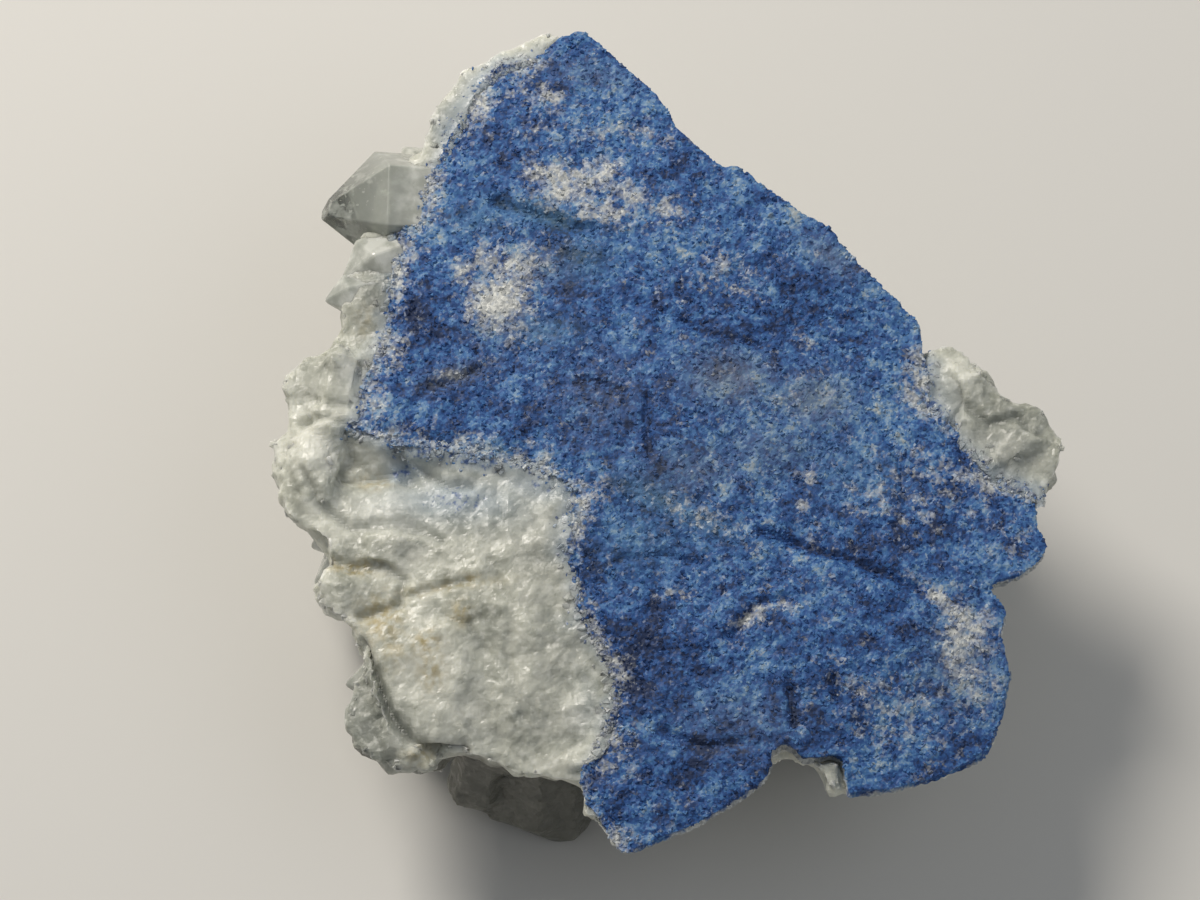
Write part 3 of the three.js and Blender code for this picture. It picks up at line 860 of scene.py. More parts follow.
TEAL_PATCHES = [
    (545, 212, 50, 12, 14, 0.9), (660, 500, 50, 14, 25, 0.8), (700, 520, 40, 12, 25, 0.7),
    (585, 255, 24, 22, 0, 0.6), (545, 330, 30, 14, 0, 0.6), (640, 540, 40, 30, 0, 0.4),
    (860, 470, 40, 30, 0, 0.3), (480, 215, 40, 16, 0, 0.4), (440, 455, 60, 14, 0, 0.6),
]
BLUE_TINTS = [
    (455, 495, 70, 24, 5, 0.7), (540, 482, 50, 20, 8, 0.65), (378, 415, 14, 13, 0, 1.0),
    (400, 465, 26, 12, 0, 0.9), (480, 457, 66, 14, 10, 0.85), (425, 448, 34, 12, 0, 0.8),
    (375, 380, 20, 50, 0, 0.55), (395, 345, 16, 30, 0, 0.5), (560, 480, 26, 14, 20, 0.5),
    (590, 700, 14, 40, 0, 0.25), (938, 400, 16, 46, -20, 0.5), (985, 470, 50, 10, 10, 0.6),
    (1030, 482, 20, 8, 0, 0.6),
]
IRON_STAINS = [
    (380, 615, 20, 24, 0, 0.9), (392, 645, 14, 20, 0, 0.6), (460, 612, 10, 12, 0, 0.9),
    (425, 640, 14, 14, 0, 0.9), (430, 668, 12, 20, 0, 0.7), (350, 562, 30, 7, 8, 0.8),
    (375, 473, 20, 9, 0, 0.8), (420, 750, 16, 8, 0, 0.6), (440, 585, 60, 7, -6, 0.5),
    (365, 362, 12, 8, 0, 0.5), (470, 577, 12, 6, 0, 0.7), (365, 320, 12, 18, 0, 0.4),
]
SHADED_HOLLOWS = [
    (540, 560, 34, 34, 0, 0.7), (550, 640, 30, 40, 0, 0.6), (400, 545, 60, 12, 0, 0.6),
    (540, 715, 60, 22, 0, 0.5), (480, 725, 30, 18, 0, 0.5), (360, 285, 22, 40, 0, 0.6),
    (350, 590, 34, 16, 0, 0.5), (420, 520, 60, 16, 0, 0.4), (1000, 430, 50, 44, 0, 0.8),
    (345, 695, 36, 46, 0, 0.95), (376, 285, 26, 50, 0, 1.0), (410, 200, 16, 70, 25, 0.7),
    (372, 728, 34, 40, 0, 1.0), (425, 768, 34, 14, 0, 0.8), (318, 362, 34, 30, 0, 0.5),
    (455, 110, 20, 40, 20, 0.6), (500, 660, 50, 60, 0, 0.3), (590, 530, 30, 60, 0, 0.4),
    (500, 525, 60, 24, 0, 0.35), (450, 120, 22, 40, 20, 0.8),
]

# Spots of painted light on the lit tops of the quartz and on a glint, some of them whiter quartz too.
LIT_SPOTS = [
    (345, 366, 13, 14, 0, 1.0), (314, 446, 22, 22, 0, 0.8), (372, 506, 36, 16, 0, 0.7),
    (374, 450, 26, 14, 0, 0.7), (545, 520, 26, 26, 0, 0.3), (440, 692, 26, 20, 0, 0.5),
    (430, 735, 40, 14, 0, 0.4), (400, 770, 30, 16, 0, 0.3), (576, 714, 14, 12, 0, 0.8),
    (300, 400, 20, 12, 0, 0.4), (965, 375, 22, 16, 0, 0.5), (990, 440, 30, 16, 0, 0.3),
]

# Creases of the bare quartz, and grooves and ledges of the blue face: the pixels along each line, then its
# width and its depth in millimetres.
QUARTZ_CREASES = [
    ([(345, 471), (372, 468), (398, 466)], 0.9, 1.1),
    ([(410, 458), (430, 470), (448, 481), (470, 482)], 0.8, 0.9),
    ([(398, 452), (402, 462), (408, 471)], 1.5, 1.8),
    ([(330, 556), (352, 562), (385, 566), (402, 576)], 0.9, 1.0),
    ([(402, 576), (398, 600), (376, 607), (360, 612)], 0.8, 0.9),
    ([(404, 592), (430, 586), (470, 578)], 0.8, 0.7),
    ([(300, 418), (330, 414), (352, 424), (380, 428)], 0.9, 1.0),
    ([(346, 424), (352, 452), (345, 470)], 0.8, 0.9),
    ([(490, 560), (512, 612), (506, 660), (522, 712)], 1.1, 0.5),
    ([(300, 470), (318, 500), (350, 522)], 0.9, 0.8), ([(352, 522), (400, 520), (440, 536)], 1.0, 0.7),
    ([(440, 612), (470, 622), (486, 650)], 0.8, 0.4),
    ([(360, 640), (374, 672), (389, 710), (408, 734), (430, 746), (462, 746)], 1.0, 2.0),
    ([(950, 372), (962, 400), (990, 420)], 0.9, 0.9), ([(990, 420), (1018, 412), (1040, 428)], 0.9, 0.9),
    ([(962, 400), (950, 430)], 0.8, 0.8),
]

FACE_GROOVES = [
    ([(498, 198), (520, 208), (545, 214), (570, 225), (592, 228)], 1.1, 1.0),
    ([(648, 398), (646, 425), (650, 456)], 0.7, 0.8),
    ([(760, 530), (800, 545), (850, 560), (890, 575), (916, 586)], 0.8, 0.8),
    ([(733, 637), (745, 618), (760, 602), (785, 600)], 0.9, 0.9), ([(832, 678), (838, 700)], 0.7, 0.9),
    ([(790, 690), (794, 724)], 0.7, 0.9), ([(430, 384), (452, 380), (476, 367)], 0.8, 0.8),
    ([(398, 455), (404, 470)], 1.6, 1.6), ([(345, 465), (370, 463), (392, 472)], 0.9, 0.9),
    ([(430, 472), (450, 478), (466, 483)], 0.9, 0.9), ([(640, 300), (700, 330), (760, 345)], 0.6, 0.5),
    ([(560, 385), (590, 380), (625, 392)], 0.6, 0.5), ([(880, 420), (900, 460), (905, 500)], 0.6, 0.5),
    ([(620, 560), (660, 555), (700, 562)], 0.6, 0.5), ([(660, 730), (700, 745), (740, 742)], 0.8, 0.7),
]


def patches(points, spots):
    """The strongest of several soft patches at each (u, v) point."""
    scale = FRAME_WIDTH / FRAME_PIXELS[0]
    values = np.zeros(len(points))
    for x, y, half_width, half_height, turn, strength in spots:
        centre = from_photo([(x, y)])[0]
        away = points - centre
        angle = math.radians(-turn)
        along = (away[:, 0] * math.cos(angle) + away[:, 1] * math.sin(angle)) / (half_width * scale)
        across = (away[:, 1] * math.cos(angle) - away[:, 0] * math.sin(angle)) / (half_height * scale)
        values = np.maximum(values, strength * np.exp(-(along ** 2 + across ** 2) * 0.9))
    return values


def grooves(points, lines):
    """How deep the surface is cut at each (u, v) point, in millimetres."""
    depth = np.zeros(len(points))
    for line, width, cut in lines:
        distance = line_distance(points, from_photo(line))
        depth = np.maximum(depth, cut * fall_off(distance, width))
    return depth


# Settings

def length_setting(name, millimetres, description):
    """A setting that is a length."""
    return FloatProperty(
        name=name, description=description, default=millimetres * MM, min=0.1 * MM, precision=5,
        subtype="DISTANCE", unit="LENGTH",
    )


def density_setting(name, value, description):
    """A setting that is a number of grains on a square millimetre."""
    return FloatProperty(name=name, description=description, default=value, min=0)


def colour_setting(name, code, description):
    """A setting that is a colour."""
    return FloatVectorProperty(
        name=name, description=description, default=srgb(code), min=0, max=1, size=3, subtype="COLOR",
    )


class ClusterSettings(bpy.types.PropertyGroup):
    """Sizes and colours of the specimen."""

    face_net: length_setting("Face net", 0.5, "Side of the small faces of the blue face")
    mass_net: length_setting("Mass net", 0.9, "Side of the small faces of the quartz mass")
    grain_size: length_setting("Grain size", 0.8, "Width of a dumortierite grain")
    grains_per_area: density_setting("Grains", 1.0, "Blue grains on a square millimetre of the blue face")
    quartz_grain_size: length_setting("Quartz grain size", 1.5, "Width of a broken quartz grain")
    quartz_grains_per_area: density_setting("Quartz grains", 0.3, "Grains on a square millimetre of quartz")
    seed: IntProperty(name="Seed", description="Number that fixes where the grains lie", default=7, min=0)
    navy: colour_setting("Navy", "#12264A", "Darkest blue, in the clumps and the hollows")
    deep_blue: colour_setting("Deep blue", "#234C88", "The blue of dense dumortierite")
    mid_blue: colour_setting("Middle blue", "#4270A4", "The blue of most of the face")
    grey_blue: colour_setting("Grey blue", "#7794AF", "Blue specks seen through quartz")
    bone: colour_setting("Bone", "#A3AAAB", "Quartz between the blue specks")
    white_quartz: colour_setting("White quartz", "#C7C8BC", "The milky quartz")
    grey_quartz: colour_setting("Grey quartz", "#95978A", "The clearer quartz between the milky parts")
    iron_stain: colour_setting("Iron stain", "#A4925A", "The ochre stain in the creases")


# Grains by geometry nodes

def grain_shape(name, seed):
    """An uneven splinter with flat facets, a millimetre wide, for a grain."""
    net = bmesh.new()
    corners = 8
    golden = math.pi * (3 - math.sqrt(5))
    for i in range(corners):
        level = 1 - 2 * (i + 0.5) / corners
        around = math.sqrt(1 - level * level)
        angle = i * golden + seed
        reach = [0.5 * spread(seed * 31 + i * 3 + k, 0.6, 1.2) * MM for k in range(3)]
        across, along = math.cos(angle) * around * reach[0], math.sin(angle) * around * reach[1]
        net.verts.new((across, along, level * reach[2]))
    hull = bmesh.ops.convex_hull(net, input=net.verts)
    bmesh.ops.delete(net, geom=[part for part in hull["geom_interior"] if part.is_valid], context="VERTS")
    bmesh.ops.recalc_face_normals(net, faces=net.faces)
    mesh = bpy.data.meshes.new(name)
    net.to_mesh(mesh)
    net.free()
    return bpy.data.objects.new(name, mesh)


# For each kind of random value: the place of its two limits among the node's inputs, and that of its output.
RANDOM_SOCKETS = {"FLOAT_VECTOR": (0, 1, 0), "FLOAT": (2, 3, 1), "INT": (4, 5, 2)}

# How much a grain is stretched along each axis at least, how much across at most, and how many shapes there
# are.
THINNEST = 0.7
WIDEST = 1.3
GRAIN_SHAPES = 5


def random_value(tree, kind, low, high, seed):
    """A random number or vector between two limits for each grain."""
    lowest, highest, output = RANDOM_SOCKETS[kind]
    sockets = {lowest: low, highest: high, "Seed": seed}
    return add_node(tree, "FunctionNodeRandomValue", sockets, data_type=kind).outputs[output]


def vector_of(tree, x, y, z):
    """A vector of three numbers or sockets."""
    return add_node(tree, "ShaderNodeCombineXYZ", {0: x, 1: y, 2: z}).outputs[0]


def grain_points(tree, given, room_field):
    """Points strewn over the surface as thickly as the named field allows, sunk into it, and their
    rotations."""
    room = add_node(tree, "GeometryNodeInputNamedAttribute", {"Name": room_field}, data_type="FLOAT")
    points = add_node(tree, "GeometryNodeDistributePointsOnFaces", {
        "Mesh": given["Geometry"], "Density": maths(tree, "MULTIPLY", given["Density"], room.outputs[0]),
        "Seed": given["Seed"],
    }).outputs
    inward = maths(tree, "MULTIPLY", given["Sink"], -MM)
    offset = vector_maths(tree, "SCALE", {0: points["Normal"], "Scale": inward})
    sunk = add_node(tree, "GeometryNodeSetPosition", {"Geometry": points["Points"], "Offset": offset})
    return sunk.outputs[0], points["Rotation"]


def grain_tree(name, material, shapes, room_field):
    """A node tree that strews grains over a surface. Each grain is picked from the shapes, tilted by
    chance up to the tilt, turned, stretched and scaled between the smallest and the largest size."""
    tree = bpy.data.node_groups.new(name, "GeometryNodeTree")
    sockets = tree.interface
    sockets.new_socket("Geometry", in_out="INPUT", socket_type="NodeSocketGeometry")
    for key in ("Density", "Smallest", "Largest", "Tilt", "Sink", "Flatness"):
        sockets.new_socket(key, in_out="INPUT", socket_type="NodeSocketFloat")
    sockets.new_socket("Seed", in_out="INPUT", socket_type="NodeSocketInt")
    sockets.new_socket("Geometry", in_out="OUTPUT", socket_type="NodeSocketGeometry")
    given = tree.nodes.new("NodeGroupInput").outputs
    sunk, rotation = grain_points(tree, given, room_field)
    back = maths(tree, "MULTIPLY", given["Tilt"], -1.0)
    lowest = vector_of(tree, back, back, 0.0)
    highest = vector_of(tree, given["Tilt"], given["Tilt"], 2 * math.pi)
    lean = random_value(tree, "FLOAT_VECTOR", lowest, highest, 11)
    turned = {"Rotation": rotation, "Rotate By": lean}
    turn = add_node(tree, "FunctionNodeRotateRotation", turned, rotation_space="LOCAL").outputs[0]
    size = random_value(tree, "FLOAT", given["Smallest"], given["Largest"], 12)
    widest = vector_of(tree, WIDEST, WIDEST, given["Flatness"])
    stretch = random_value(tree, "FLOAT_VECTOR", (THINNEST, THINNEST, THINNEST), widest, 13)
    collect = add_node(tree, "GeometryNodeGeometryToInstance")
    for shape in shapes:
        source = add_node(tree, "GeometryNodeObjectInfo", {"Object": shape})
        tree.links.new(source.outputs["Geometry"], collect.inputs[0])
    kept = add_node(tree, "GeometryNodeInstanceOnPoints", {
        "Points": sunk, "Instance": collect.outputs[0], "Pick Instance": True,
        "Instance Index": random_value(tree, "INT", 0, len(shapes) - 1, 14), "Rotation": turn,
        "Scale": vector_maths(tree, "SCALE", {0: stretch, "Scale": size}),
    }).outputs[0]
    for k, field in enumerate(("grain_tone", "grain_other")):
        kept = add_node(tree, "GeometryNodeStoreNamedAttribute", {
            "Geometry": kept, "Name": field, "Value": random_value(tree, "FLOAT", 0.0, 1.0, 20 + k),
        }, data_type="FLOAT", domain="INSTANCE").outputs[0]
    real = add_node(tree, "GeometryNodeRealizeInstances", {"Geometry": kept})
    made = add_node(tree, "GeometryNodeSetMaterial", {"Geometry": real.outputs[0], "Material": material})
    add_node(tree, "NodeGroupOutput", {0: made.outputs[0]})
    return tree


def grain_values(habit, size, density, seed):
    """What the grain tree is given: the habit of the grains, their size, their number on a square
    millimetre and a seed."""
    width = size / MM
    sizes = {key: width * habit[key] for key in ("Smallest", "Largest")}
    return {**habit, **sizes, "Density": density / MM ** 2, "Seed": seed}


def strew(name, ground, material, values, room_field="grain_room"):
    """Grains over the ground's surface as one plain mesh."""
    shapes = [grain_shape(f"{name}_shape_{i}", values["Seed"] + i) for i in range(GRAIN_SHAPES)]
    tree = grain_tree(name + "_nodes", material, shapes, room_field)
    carrier = new_object(name + "_carrier", ground.data.copy())
    modifier = carrier.modifiers.new("Grains", "NODES")
    modifier.node_group = tree
    for item in tree.interface.items_tree:
        if item.item_type == "SOCKET" and item.in_out == "INPUT" and item.name in values:
            modifier[item.identifier] = values[item.name]
    mesh = baked(carrier)
    mesh.name = name
    carrier_mesh = carrier.data
    bpy.data.objects.remove(carrier)
    bpy.data.meshes.remove(carrier_mesh)
    for shape in shapes:
        bpy.data.objects.remove(shape)
    return new_object(name, mesh, material)


# The pieces

def blue_height(spots):
    """Height of the blue face at each (u, v) point, as in the part's source but for its nose."""
    height = -CROWN * (spots ** 2).sum(axis=1)
    for centre, radius, rise in FACE_SWELLS:
        height += rise * np.exp(-((spots - np.array(centre)) ** 2).sum(axis=1) / radius ** 2)
    return height


def contact_distance(points):
    """Distance of each (u, v) point from the line where the blue rock passes into quartz, in millimetres."""
    return np.min([line_distance(points, np.array(line, dtype=float)) for line in CONTACT_LINES], axis=0)


def make_blue_face(settings):
    """The blue face with its broken relief, and the fields that its material and the grains on it read."""
    mesh = remeshed("dumortierite_plate", settings.face_net)
    places, normals = mesh_arrays(mesh)
    face, outward = in_face_frame(places, normals)
    spots = face[:, :2]
    up = smooth(0.35, 0.8, outward[:, 2])
    under = smooth(0.3, 0.8, -outward[:, 2])
    away = contact_distance(spots)
    contact = fall_off(away, SLOPE_WIDTH)
    broad = SWELL_HEIGHT * layered_noise(face, SWELL_SIZE, 3) * up
    grain = relief(face, FACE_CLUMPS) + relief(face, FACE_CRUMBS)
    cut = grooves(spots, FACE_GROOVES) * up
    side_room = (1 - up) * (1 - under) * (SIDE_ROOM - (SIDE_ROOM + CONTACT_OVERLAP) * contact)
    lift = broad + grain - cut - side_room - CONTACT_SLOPE * contact * up + SEAM_FILLING * under
    set_places(mesh, places + normals * lift[:, None] * MM)
    patchy = unevenness(face, 7.0, 23)
    fading = (0.25 + 0.5 * patchy) * fall_off(away, 1.2 + 3.0 * patchy)
    crust = CRUST_DEPTH + CRUST_UNEVENNESS * layered_noise(face, 5.0, 24)
    under_crust = smooth(0.0, 0.8, -face[:, 2] - CROWN * (spots ** 2).sum(axis=1) - crust) * (1 - up)
    # Painted highlights: two of the pale patches lie along a ledge, where the light catches it.
    pale = np.maximum(patches(spots, PALE_AND_LIT_PATCHES), fading) + 0.1 * layered_noise(face, 12, 21)
    set_field(mesh, "paleness_and_highlight", np.maximum(pale, under_crust))
    # Painted shade: darker in the grooves and where the relief is low, besides the darker blue patches.
    dark = patches(spots, DARK_PATCHES) + 0.9 * np.clip(cut, 0, 1) - 0.5 * (grain - 0.05)
    set_field(mesh, "darkness_and_shade", dark)
    set_field(mesh, "brownness", patches(spots, BROWN_PATCHES))
    set_field(mesh, "tealness", patches(spots, TEAL_PATCHES))
    crowding = (1 + (BLUE_CROWDING - 1) * contact) / BLUE_CROWDING
    set_field(mesh, "grain_room", smooth(-0.2, 0.2, outward[:, 2]) * crowding)
    mesh.name = "blue_face"
    return mesh


def inside_crystals(points, specs):
    """How far each point is inside the nearest of the crystals, counted from a margin outside them."""
    depth = np.zeros(len(points))
    for index, spec in specs:
        corners = np.array([tuple(c) for c in crystal_corners(spec, index)])
        planes = []
        for face in crystal_faces():
            a, b, c = corners[list(face[:3])]
            normal = np.cross(b - a, c - a)
            normal /= np.linalg.norm(normal)
            planes.append((normal, normal @ a))
        centre = corners.mean(axis=0)
        near = np.linalg.norm(points - centre, axis=1) < np.linalg.norm(corners - centre, axis=1).max() + 1
        local = points[near]
        outside = np.full(len(local), -99.0)
        for normal, offset in planes:
            outside = np.maximum(outside, local @ normal - offset)
        depth[near] = np.maximum(depth[near], CRYSTAL_MARGIN - outside)
    return depth


def all_crystals():
    """Every crystal with the number that fixes its uneven tip, counted as in the part's source."""
    specs = [CLEAR_POINT] + LARGE_CRYSTALS + underside_crystals() + rim_crystals()
    return list(enumerate(specs))


def whole_crystals():
    """The crystals with faces of their own, other than the clear point."""
    return [(index, spec) for index, spec in all_crystals()[1:] if index not in ROUGH_CRYSTALS]


def mass_net(settings):
    """The net of the quartz mass, finer on the bare rock that shows from above."""
    mesh = remeshed("quartz_cluster", settings.mass_net)
    places, normals = mesh_arrays(mesh)
    face, outward = in_face_frame(places, normals)
    bare = ~covered(places, "dumortierite_plate", 1.5 * MM)
    refined(mesh, bare & (face[:, 2] > FINE_NET_HEIGHT) & (outward[:, 2] > 0.1))
    return mesh


def mass_relief(face, level):
    """The broken relief of the mass, calmer where the bare face is level."""
    blocks = relief(face, MASS_BLOCKS, BLOCKS_CALMED * level)
    stones = relief(face, MASS_STONES, STONES_CALMED * level)
    return blocks + stones + relief(face, MASS_SPLINTERS) - MASS_DRAWN_IN


def rim_rise(face, up, away):
    """How far the quartz rises to the edge of the blue face beside the contact."""
    step = np.clip(blue_height(face[:, :2]) - RIM_DROP - face[:, 2], 0, HIGHEST_RIM)
    return step * fall_off(away, RIM_WIDTH) * smooth(0.1, 0.5, up) * smooth(*RIM_HEIGHTS, face[:, 2])


def drawn_to_point(places, clear):
    """The places with those inside the clear point drawn in under it."""
    seat = np.array(CLEAR_POINT[0], dtype=float) + np.array(POINT_SEAT)
    return places + (seat - places) * (smooth(0.0, 0.8, clear)[:, None] * np.array(SHARE_DRAWN))


def paint_mass(mesh, face, away, patchy, creased):
    """The fields that the material of the quartz mass reads."""
    spots, height = face[:, :2], face[:, 2]
    near_blue = (0.5 + 0.45 * patchy) * fall_off(away, 1.4 + 1.6 * patchy)
    blueness = np.maximum(patches(spots, BLUE_TINTS), near_blue) * smooth(*BLUE_TINT_HEIGHTS, height)
    # Painted shade: the quartz at the front is darkened, as if in the shadow under the slab.
    front_shade = smooth(*FRONT_SHADE_TOWARD, face[:, 1]) * smooth(*FRONT_SHADE_HEIGHTS, height)
    set_field(mesh, "stain", patches(spots, IRON_STAINS))
    # Painted light: whiter spots on the lit tops, high on the mass.
    set_field(mesh, "painted_light", patches(spots, LIT_SPOTS) * smooth(*LIT_SPOT_HEIGHTS, height))
    set_field(mesh, "blueness", blueness)
    # Painted shade, where the quartz is also clear: greyer lower down, in its creases and in its hollows.
    lower_shade = 0.4 * smooth(*LOWER_SHADE_HEIGHTS, height)
    set_field(mesh, "clearness_and_shade", patches(spots, SHADED_HOLLOWS) + lower_shade + 0.3 * creased)
    set_field(mesh, "front_shade", front_shade * smooth(*FRONT_SHADE_LEFT, face[:, 0]))


def leave_room_for_grains(mesh, face, up, away, patchy, broken):
    """The fields that say how thickly quartz grains and stray blue grains lie on the mass."""
    spots, height = face[:, :2], face[:, 2]
    on_top = smooth(-0.1, 0.3, up) * smooth(*GRAIN_HEIGHTS, height) * broken
    beside_blue = fall_off(away, GRAIN_BAND) * smooth(*BAND_HEIGHTS, height) * smooth(0.3, 0.6, up)
    set_field(mesh, "grain_room", np.maximum(on_top / CONTACT_CROWDING, beside_blue))
    tints = patches(spots, BLUE_TINTS) * smooth(*BLUE_TINT_HEIGHTS, height)
    stray = fall_off(away, 0.8 + 1.6 * patchy) * smooth(*BAND_HEIGHTS, height)
    set_field(mesh, "blue_room", np.maximum(stray, smooth(0.78, 1.0, tints)) * smooth(0.2, 0.5, up))
    set_field(mesh, "paleness_and_highlight", np.full(len(face), STRAY_PALENESS))


def make_quartz_mass(settings):
    """The quartz mass with its broken relief, and the fields that its material and the grains on it read."""
    mesh = mass_net(settings)
    face, outward = in_face_frame(*mesh_arrays(mesh))
    spots, height, up = face[:, :2], face[:, 2], outward[:, 2]
    rough_ones = [(index, spec) for index, spec in all_crystals() if index in ROUGH_CRYSTALS]
    sunk = inside_crystals(face, whole_crystals())
    clear = inside_crystals(face, [(0, CLEAR_POINT)])
    free = 1 - smooth(0.0, 0.5, np.maximum(sunk, clear))
    free = free * (1 - (1 - ROUGH_SHARE) * smooth(0.0, 0.5, inside_crystals(face, rough_ones)))
    level = smooth(0.6, 0.9, up) * smooth(*LEVEL_HEIGHTS, height)
    away = contact_distance(spots)
    creased = grooves(spots, QUARTZ_CREASES) * smooth(0.0, 0.5, up) * smooth(*CREASE_HEIGHTS, height)
    at_contact = fall_off(away, SEAT_WIDTH) * smooth(*SEAT_HEIGHTS, height)
    filling = SEAT_FILLING * at_contact * (1 - smooth(0.3, 0.8, up))
    broken = mass_relief(face, level) * free * (1 - at_contact) + filling
    lift = broken - SUNK_IN_CRYSTALS * smooth(0.0, 0.6, sunk) + rim_rise(face, up, away) - creased
    places = to_part(drawn_to_point(face + outward * lift[:, None], clear))
    places[:, 2] = np.maximum(places[:, 2], END_STEPS * END_STEP * MM)
    set_places(mesh, places)
    patchy = unevenness(face, 6.0, 41)
    paint_mass(mesh, face, away, patchy, creased)
    leave_room_for_grains(mesh, face, up, away, patchy, free * (1 - level))
    mesh.name = "quartz_mass"
    return mesh


def worn(mesh, width):
    """The mesh with its edges rounded over that width in millimetres, as a worn crystal's are."""
    helper = new_object("worn_helper", mesh)
    modifier = helper.modifiers.new("Worn edges", "BEVEL")
    modifier.width = width * MM
    modifier.segments = 2
    modifier.limit_method = "ANGLE"
    modifier.angle_limit = math.radians(20)
    result = baked(helper)
    bpy.data.objects.remove(helper)
    bpy.data.meshes.remove(mesh)
    return result


def cut_off(mesh, place, toward):
    """Cuts off what lies beyond a plane at that place, in the direction toward, and closes the cut."""
    net = bmesh.new()
    net.from_mesh(mesh)
    cut = bmesh.ops.bisect_plane(
        net, geom=net.verts[:] + net.edges[:] + net.faces[:], plane_co=place, plane_no=toward,
        clear_outer=True,
    )
    edges = [part for part in cut["geom_cut"] if isinstance(part, bmesh.types.BMEdge)]
    if edges:
        bmesh.ops.contextual_create(net, geom=edges)
    net.to_mesh(mesh)
    net.free()


def crystal_mesh(spec, index, tip_clearness, wear):
    """One worn crystal, a little larger than the solid that it stands on, milky at its root."""
    root, toward, radius, length, turn = spec
    grown = (root, toward, radius + CRYSTAL_SWELL, length + CRYSTAL_SWELL, turn)
    corners = to_part([tuple(c) for c in crystal_corners(grown, index)])
    clearness_and_shade = [0.0] * CRYSTAL_SIDES + [0.55 * tip_clearness] * CRYSTAL_SIDES + [tip_clearness]
    stain = [0.1 * scatter(index + 0.33)] * len(corners)
    mesh = join_meshes("crystal", [(corners, crystal_faces(), {"clearness_and_shade": clearness_and_shade, "stain": stain})])
    mesh = worn(mesh, wear * radius + LEAST_WEAR)
    cut_off(mesh, (0, 0, index % END_STEPS * END_STEP * MM), (0, 0, -1))
    return mesh


def make_crystals():
    """All crystals with faces of their own, as one mesh."""
    net = bmesh.new()
    for index, spec in whole_crystals():
        mesh = crystal_mesh(spec, index, 0.3 + 0.3 * scatter(index + 0.71), CRYSTAL_WEAR)
        net.from_mesh(mesh)
        bpy.data.meshes.remove(mesh)
    joined = bpy.data.meshes.new("quartz_crystals")
    net.to_mesh(joined)
    net.free()
    return joined


def make_clear_point():
    """The clear point at the left, with its tip broken off."""
    mesh = crystal_mesh(CLEAR_POINT_SHOWN, 0, 1.0, CLEAR_POINT_WEAR)
    root, toward, _, length, _ = CLEAR_POINT_SHOWN
    along = np.array(toward) / np.linalg.norm(toward)
    end = np.array(root) + along * (length - BLUNTED_TIP)
    cut = to_part([end, end + np.array(BREAK_FACING)])
    cut_off(mesh, cut[0], (cut[1] - cut[0]) / MM)
    return mesh


# Operators

class MINERAL_OT_blue_face(bpy.types.Operator):
    """Make the blue face and the grains on it"""

    bl_idname = "mineral.blue_face"
    bl_label = "Blue face"

    def execute(self, context):
        settings = context.scene.cluster
        piece = new_object("blue_face", make_blue_face(settings), dumortierite_material(settings, False))
        finish_piece(piece, "dumortierite_plate")
        density = BLUE_CROWDING * settings.grains_per_area
        values = grain_values(FACE_GRAINS, settings.grain_size, density, settings.seed)
        grains = strew("blue_grains", piece, dumortierite_material(settings, True), values)
        finish_piece(grains, "dumortierite_plate")
        return {"FINISHED"}


class MINERAL_OT_quartz_mass(bpy.types.Operator):
    """Make the mass of milky quartz and the broken grains on it"""

    bl_idname = "mineral.quartz_mass"
    bl_label = "Quartz mass"

    def execute(self, context):
        settings = context.scene.cluster
        piece = new_object("quartz_mass", make_quartz_mass(settings), milky_quartz_material(settings, False))
        finish_piece(piece, "quartz_cluster")
        density = CONTACT_CROWDING * settings.quartz_grains_per_area
        values = grain_values(QUARTZ_GRAINS, settings.quartz_grain_size, density, settings.seed + 40)
        grains = strew("quartz_grains", piece, milky_quartz_material(settings, True), values)
        finish_piece(grains, "quartz_cluster")
        density = STRAY_CROWDING * settings.grains_per_area
        values = grain_values(STRAY_GRAINS, settings.grain_size, density, settings.seed + 80)
        strays = strew("stray_blue_grains", piece, dumortierite_material(settings, True), values, "blue_room")
        finish_piece(strays, "dumortierite_plate")
        return {"FINISHED"}


class MINERAL_OT_crystals(bpy.types.Operator):
    """Make the quartz crystals and the clear point"""

    bl_idname = "mineral.crystals"
    bl_label = "Crystals"

    def execute(self, context):
        quartz = grown_quartz_material(context.scene.cluster)
        crystals = new_object("quartz_crystals", make_crystals(), quartz)
        finish_piece(crystals, "quartz_cluster")
        point = new_object("clear_point", make_clear_point(), quartz)
        finish_piece(point, "quartz_cluster")
        return {"FINISHED"}


class MINERAL_OT_stage(bpy.types.Operator):
    """Make the floor, the lights and the camera"""

    bl_idname = "mineral.stage"
    bl_label = "Stage"

    def execute(self, context):
        make_floor()
        make_lights()
        make_camera()
        return {"FINISHED"}


# The stage, in metres of the part's frame

FLOOR_HALF_WIDTH = 1.5
LIGHTS_AIM = (0.0, 0.0, 0.03)
SKY_STRENGTH = 0.27


def make_floor():
    """The floor that the cluster lies on."""
    mesh = bpy.data.meshes.new("floor")
    half = FLOOR_HALF_WIDTH
    corners = [(-half, -half, 0), (half, -half, 0), (half, half, 0), (-half, half, 0)]
    mesh.from_pydata(corners, [], [(0, 1, 2, 3)])
    floor = new_object("floor", mesh, floor_material())


def point_at(holder, place, direction):
    """Puts a lamp or a camera at a place, looking in that direction."""
    turn = Vector(direction).to_track_quat("-Z", "Y").to_matrix().to_4x4()
    holder.matrix_world = Matrix.Translation(Vector(place)) @ turn


def area_light(name, place, size, power, colour):
    """A round lamp over the cluster."""
    lamp = bpy.data.lights.new(name, "AREA")
    lamp.shape = "DISK"
    lamp.size = size
    lamp.energy = power
    lamp.color = srgb(colour)
    point_at(new_object(name, lamp), place, Vector(LIGHTS_AIM) - Vector(place))


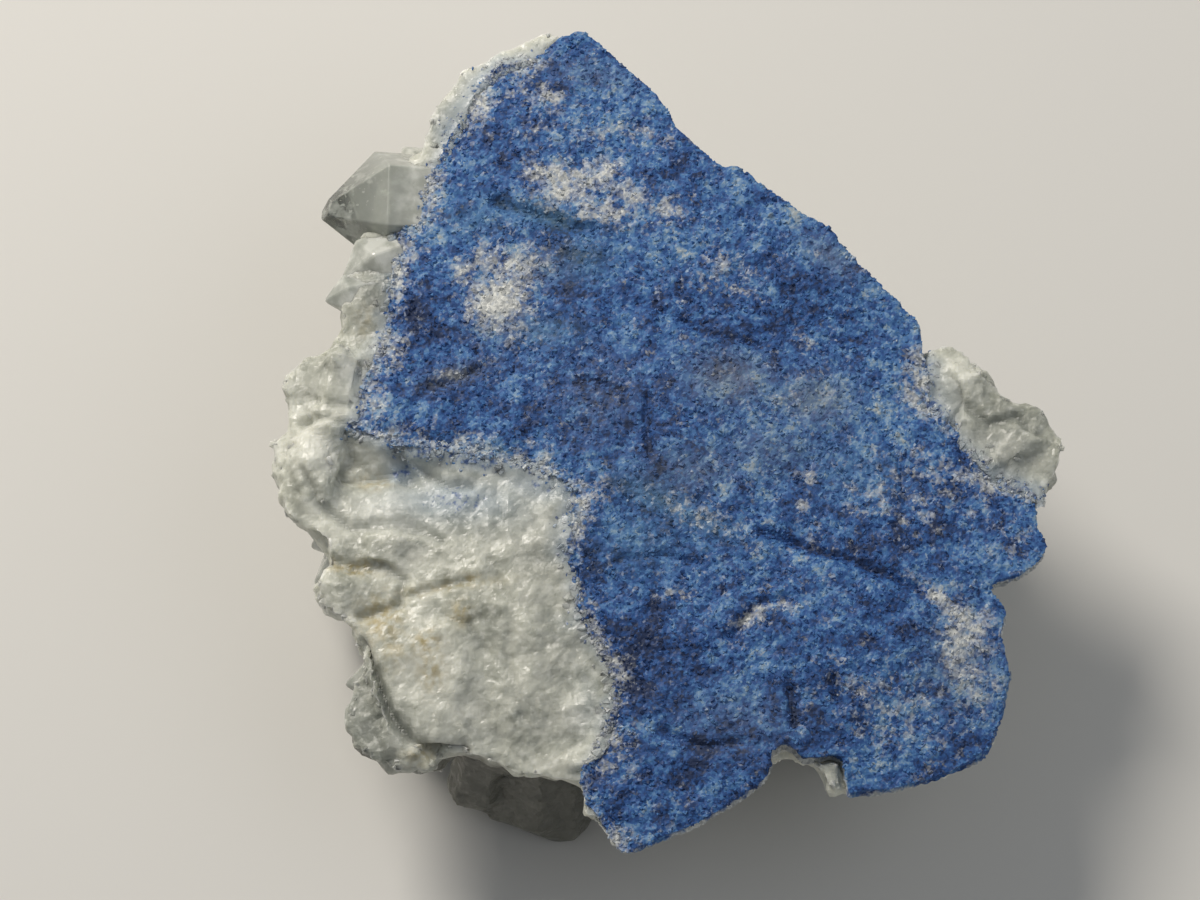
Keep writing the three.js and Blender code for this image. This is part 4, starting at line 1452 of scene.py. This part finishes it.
def make_lights():
    """A key light from the upper left, a weak fill from the right and a pale sky."""
    area_light("key", (-0.42, 0.5, 0.72), 0.45, 8.5, "#FFF9F0")
    area_light("fill", (0.6, -0.1, 0.7), 0.9, 1.2, "#F2F6FF")
    world = bpy.data.worlds.new("studio")
    bpy.context.scene.world = world
    world.use_nodes = True
    background = world.node_tree.nodes["Background"]
    background.inputs["Color"].default_value = rgba(STUDIO_SKY)
    background.inputs["Strength"].default_value = SKY_STRENGTH
    bpy.context.scene.view_settings.view_transform = "Standard"


def make_camera():
    """The photo's camera."""
    data = bpy.data.cameras.new("camera")
    data.sensor_width = SENSOR_WIDTH
    data.lens = SENSOR_WIDTH * CAMERA_DISTANCE / FRAME_WIDTH
    data.clip_end = 10
    camera = new_object("camera", data)
    _, _, forward = camera_axes()
    point_at(camera, (camera_aim() - forward * CAMERA_DISTANCE) * MM, forward)
    bpy.context.scene.camera = camera


class MINERAL_PT_panel(bpy.types.Panel):
    """Buttons for the pieces, and their settings"""

    bl_idname = "MINERAL_PT_panel"
    bl_label = "Quartz cluster"
    bl_space_type = "VIEW_3D"
    bl_region_type = "UI"
    bl_category = "Mineral"

    def draw(self, context):
        for operator in OPERATORS:
            self.layout.operator(operator.bl_idname)
        for key in ClusterSettings.__annotations__:
            self.layout.prop(context.scene.cluster, key)


OPERATORS = (MINERAL_OT_blue_face, MINERAL_OT_quartz_mass, MINERAL_OT_crystals, MINERAL_OT_stage)


def register():
    """Registers the settings, the operators and the panel."""
    for kind in (ClusterSettings, *OPERATORS, MINERAL_PT_panel):
        bpy.utils.register_class(kind)
    bpy.types.Scene.cluster = PointerProperty(type=ClusterSettings)


def unregister():
    """Takes back what register did."""
    del bpy.types.Scene.cluster
    for kind in reversed((ClusterSettings, *OPERATORS, MINERAL_PT_panel)):
        bpy.utils.unregister_class(kind)


def main():
    """Builds the whole specimen and its stage."""
    register()
    bpy.ops.mineral.blue_face()
    bpy.ops.mineral.quartz_mass()
    bpy.ops.mineral.crystals()
    bpy.ops.mineral.stage()


if __name__ == "__main__":
    main()
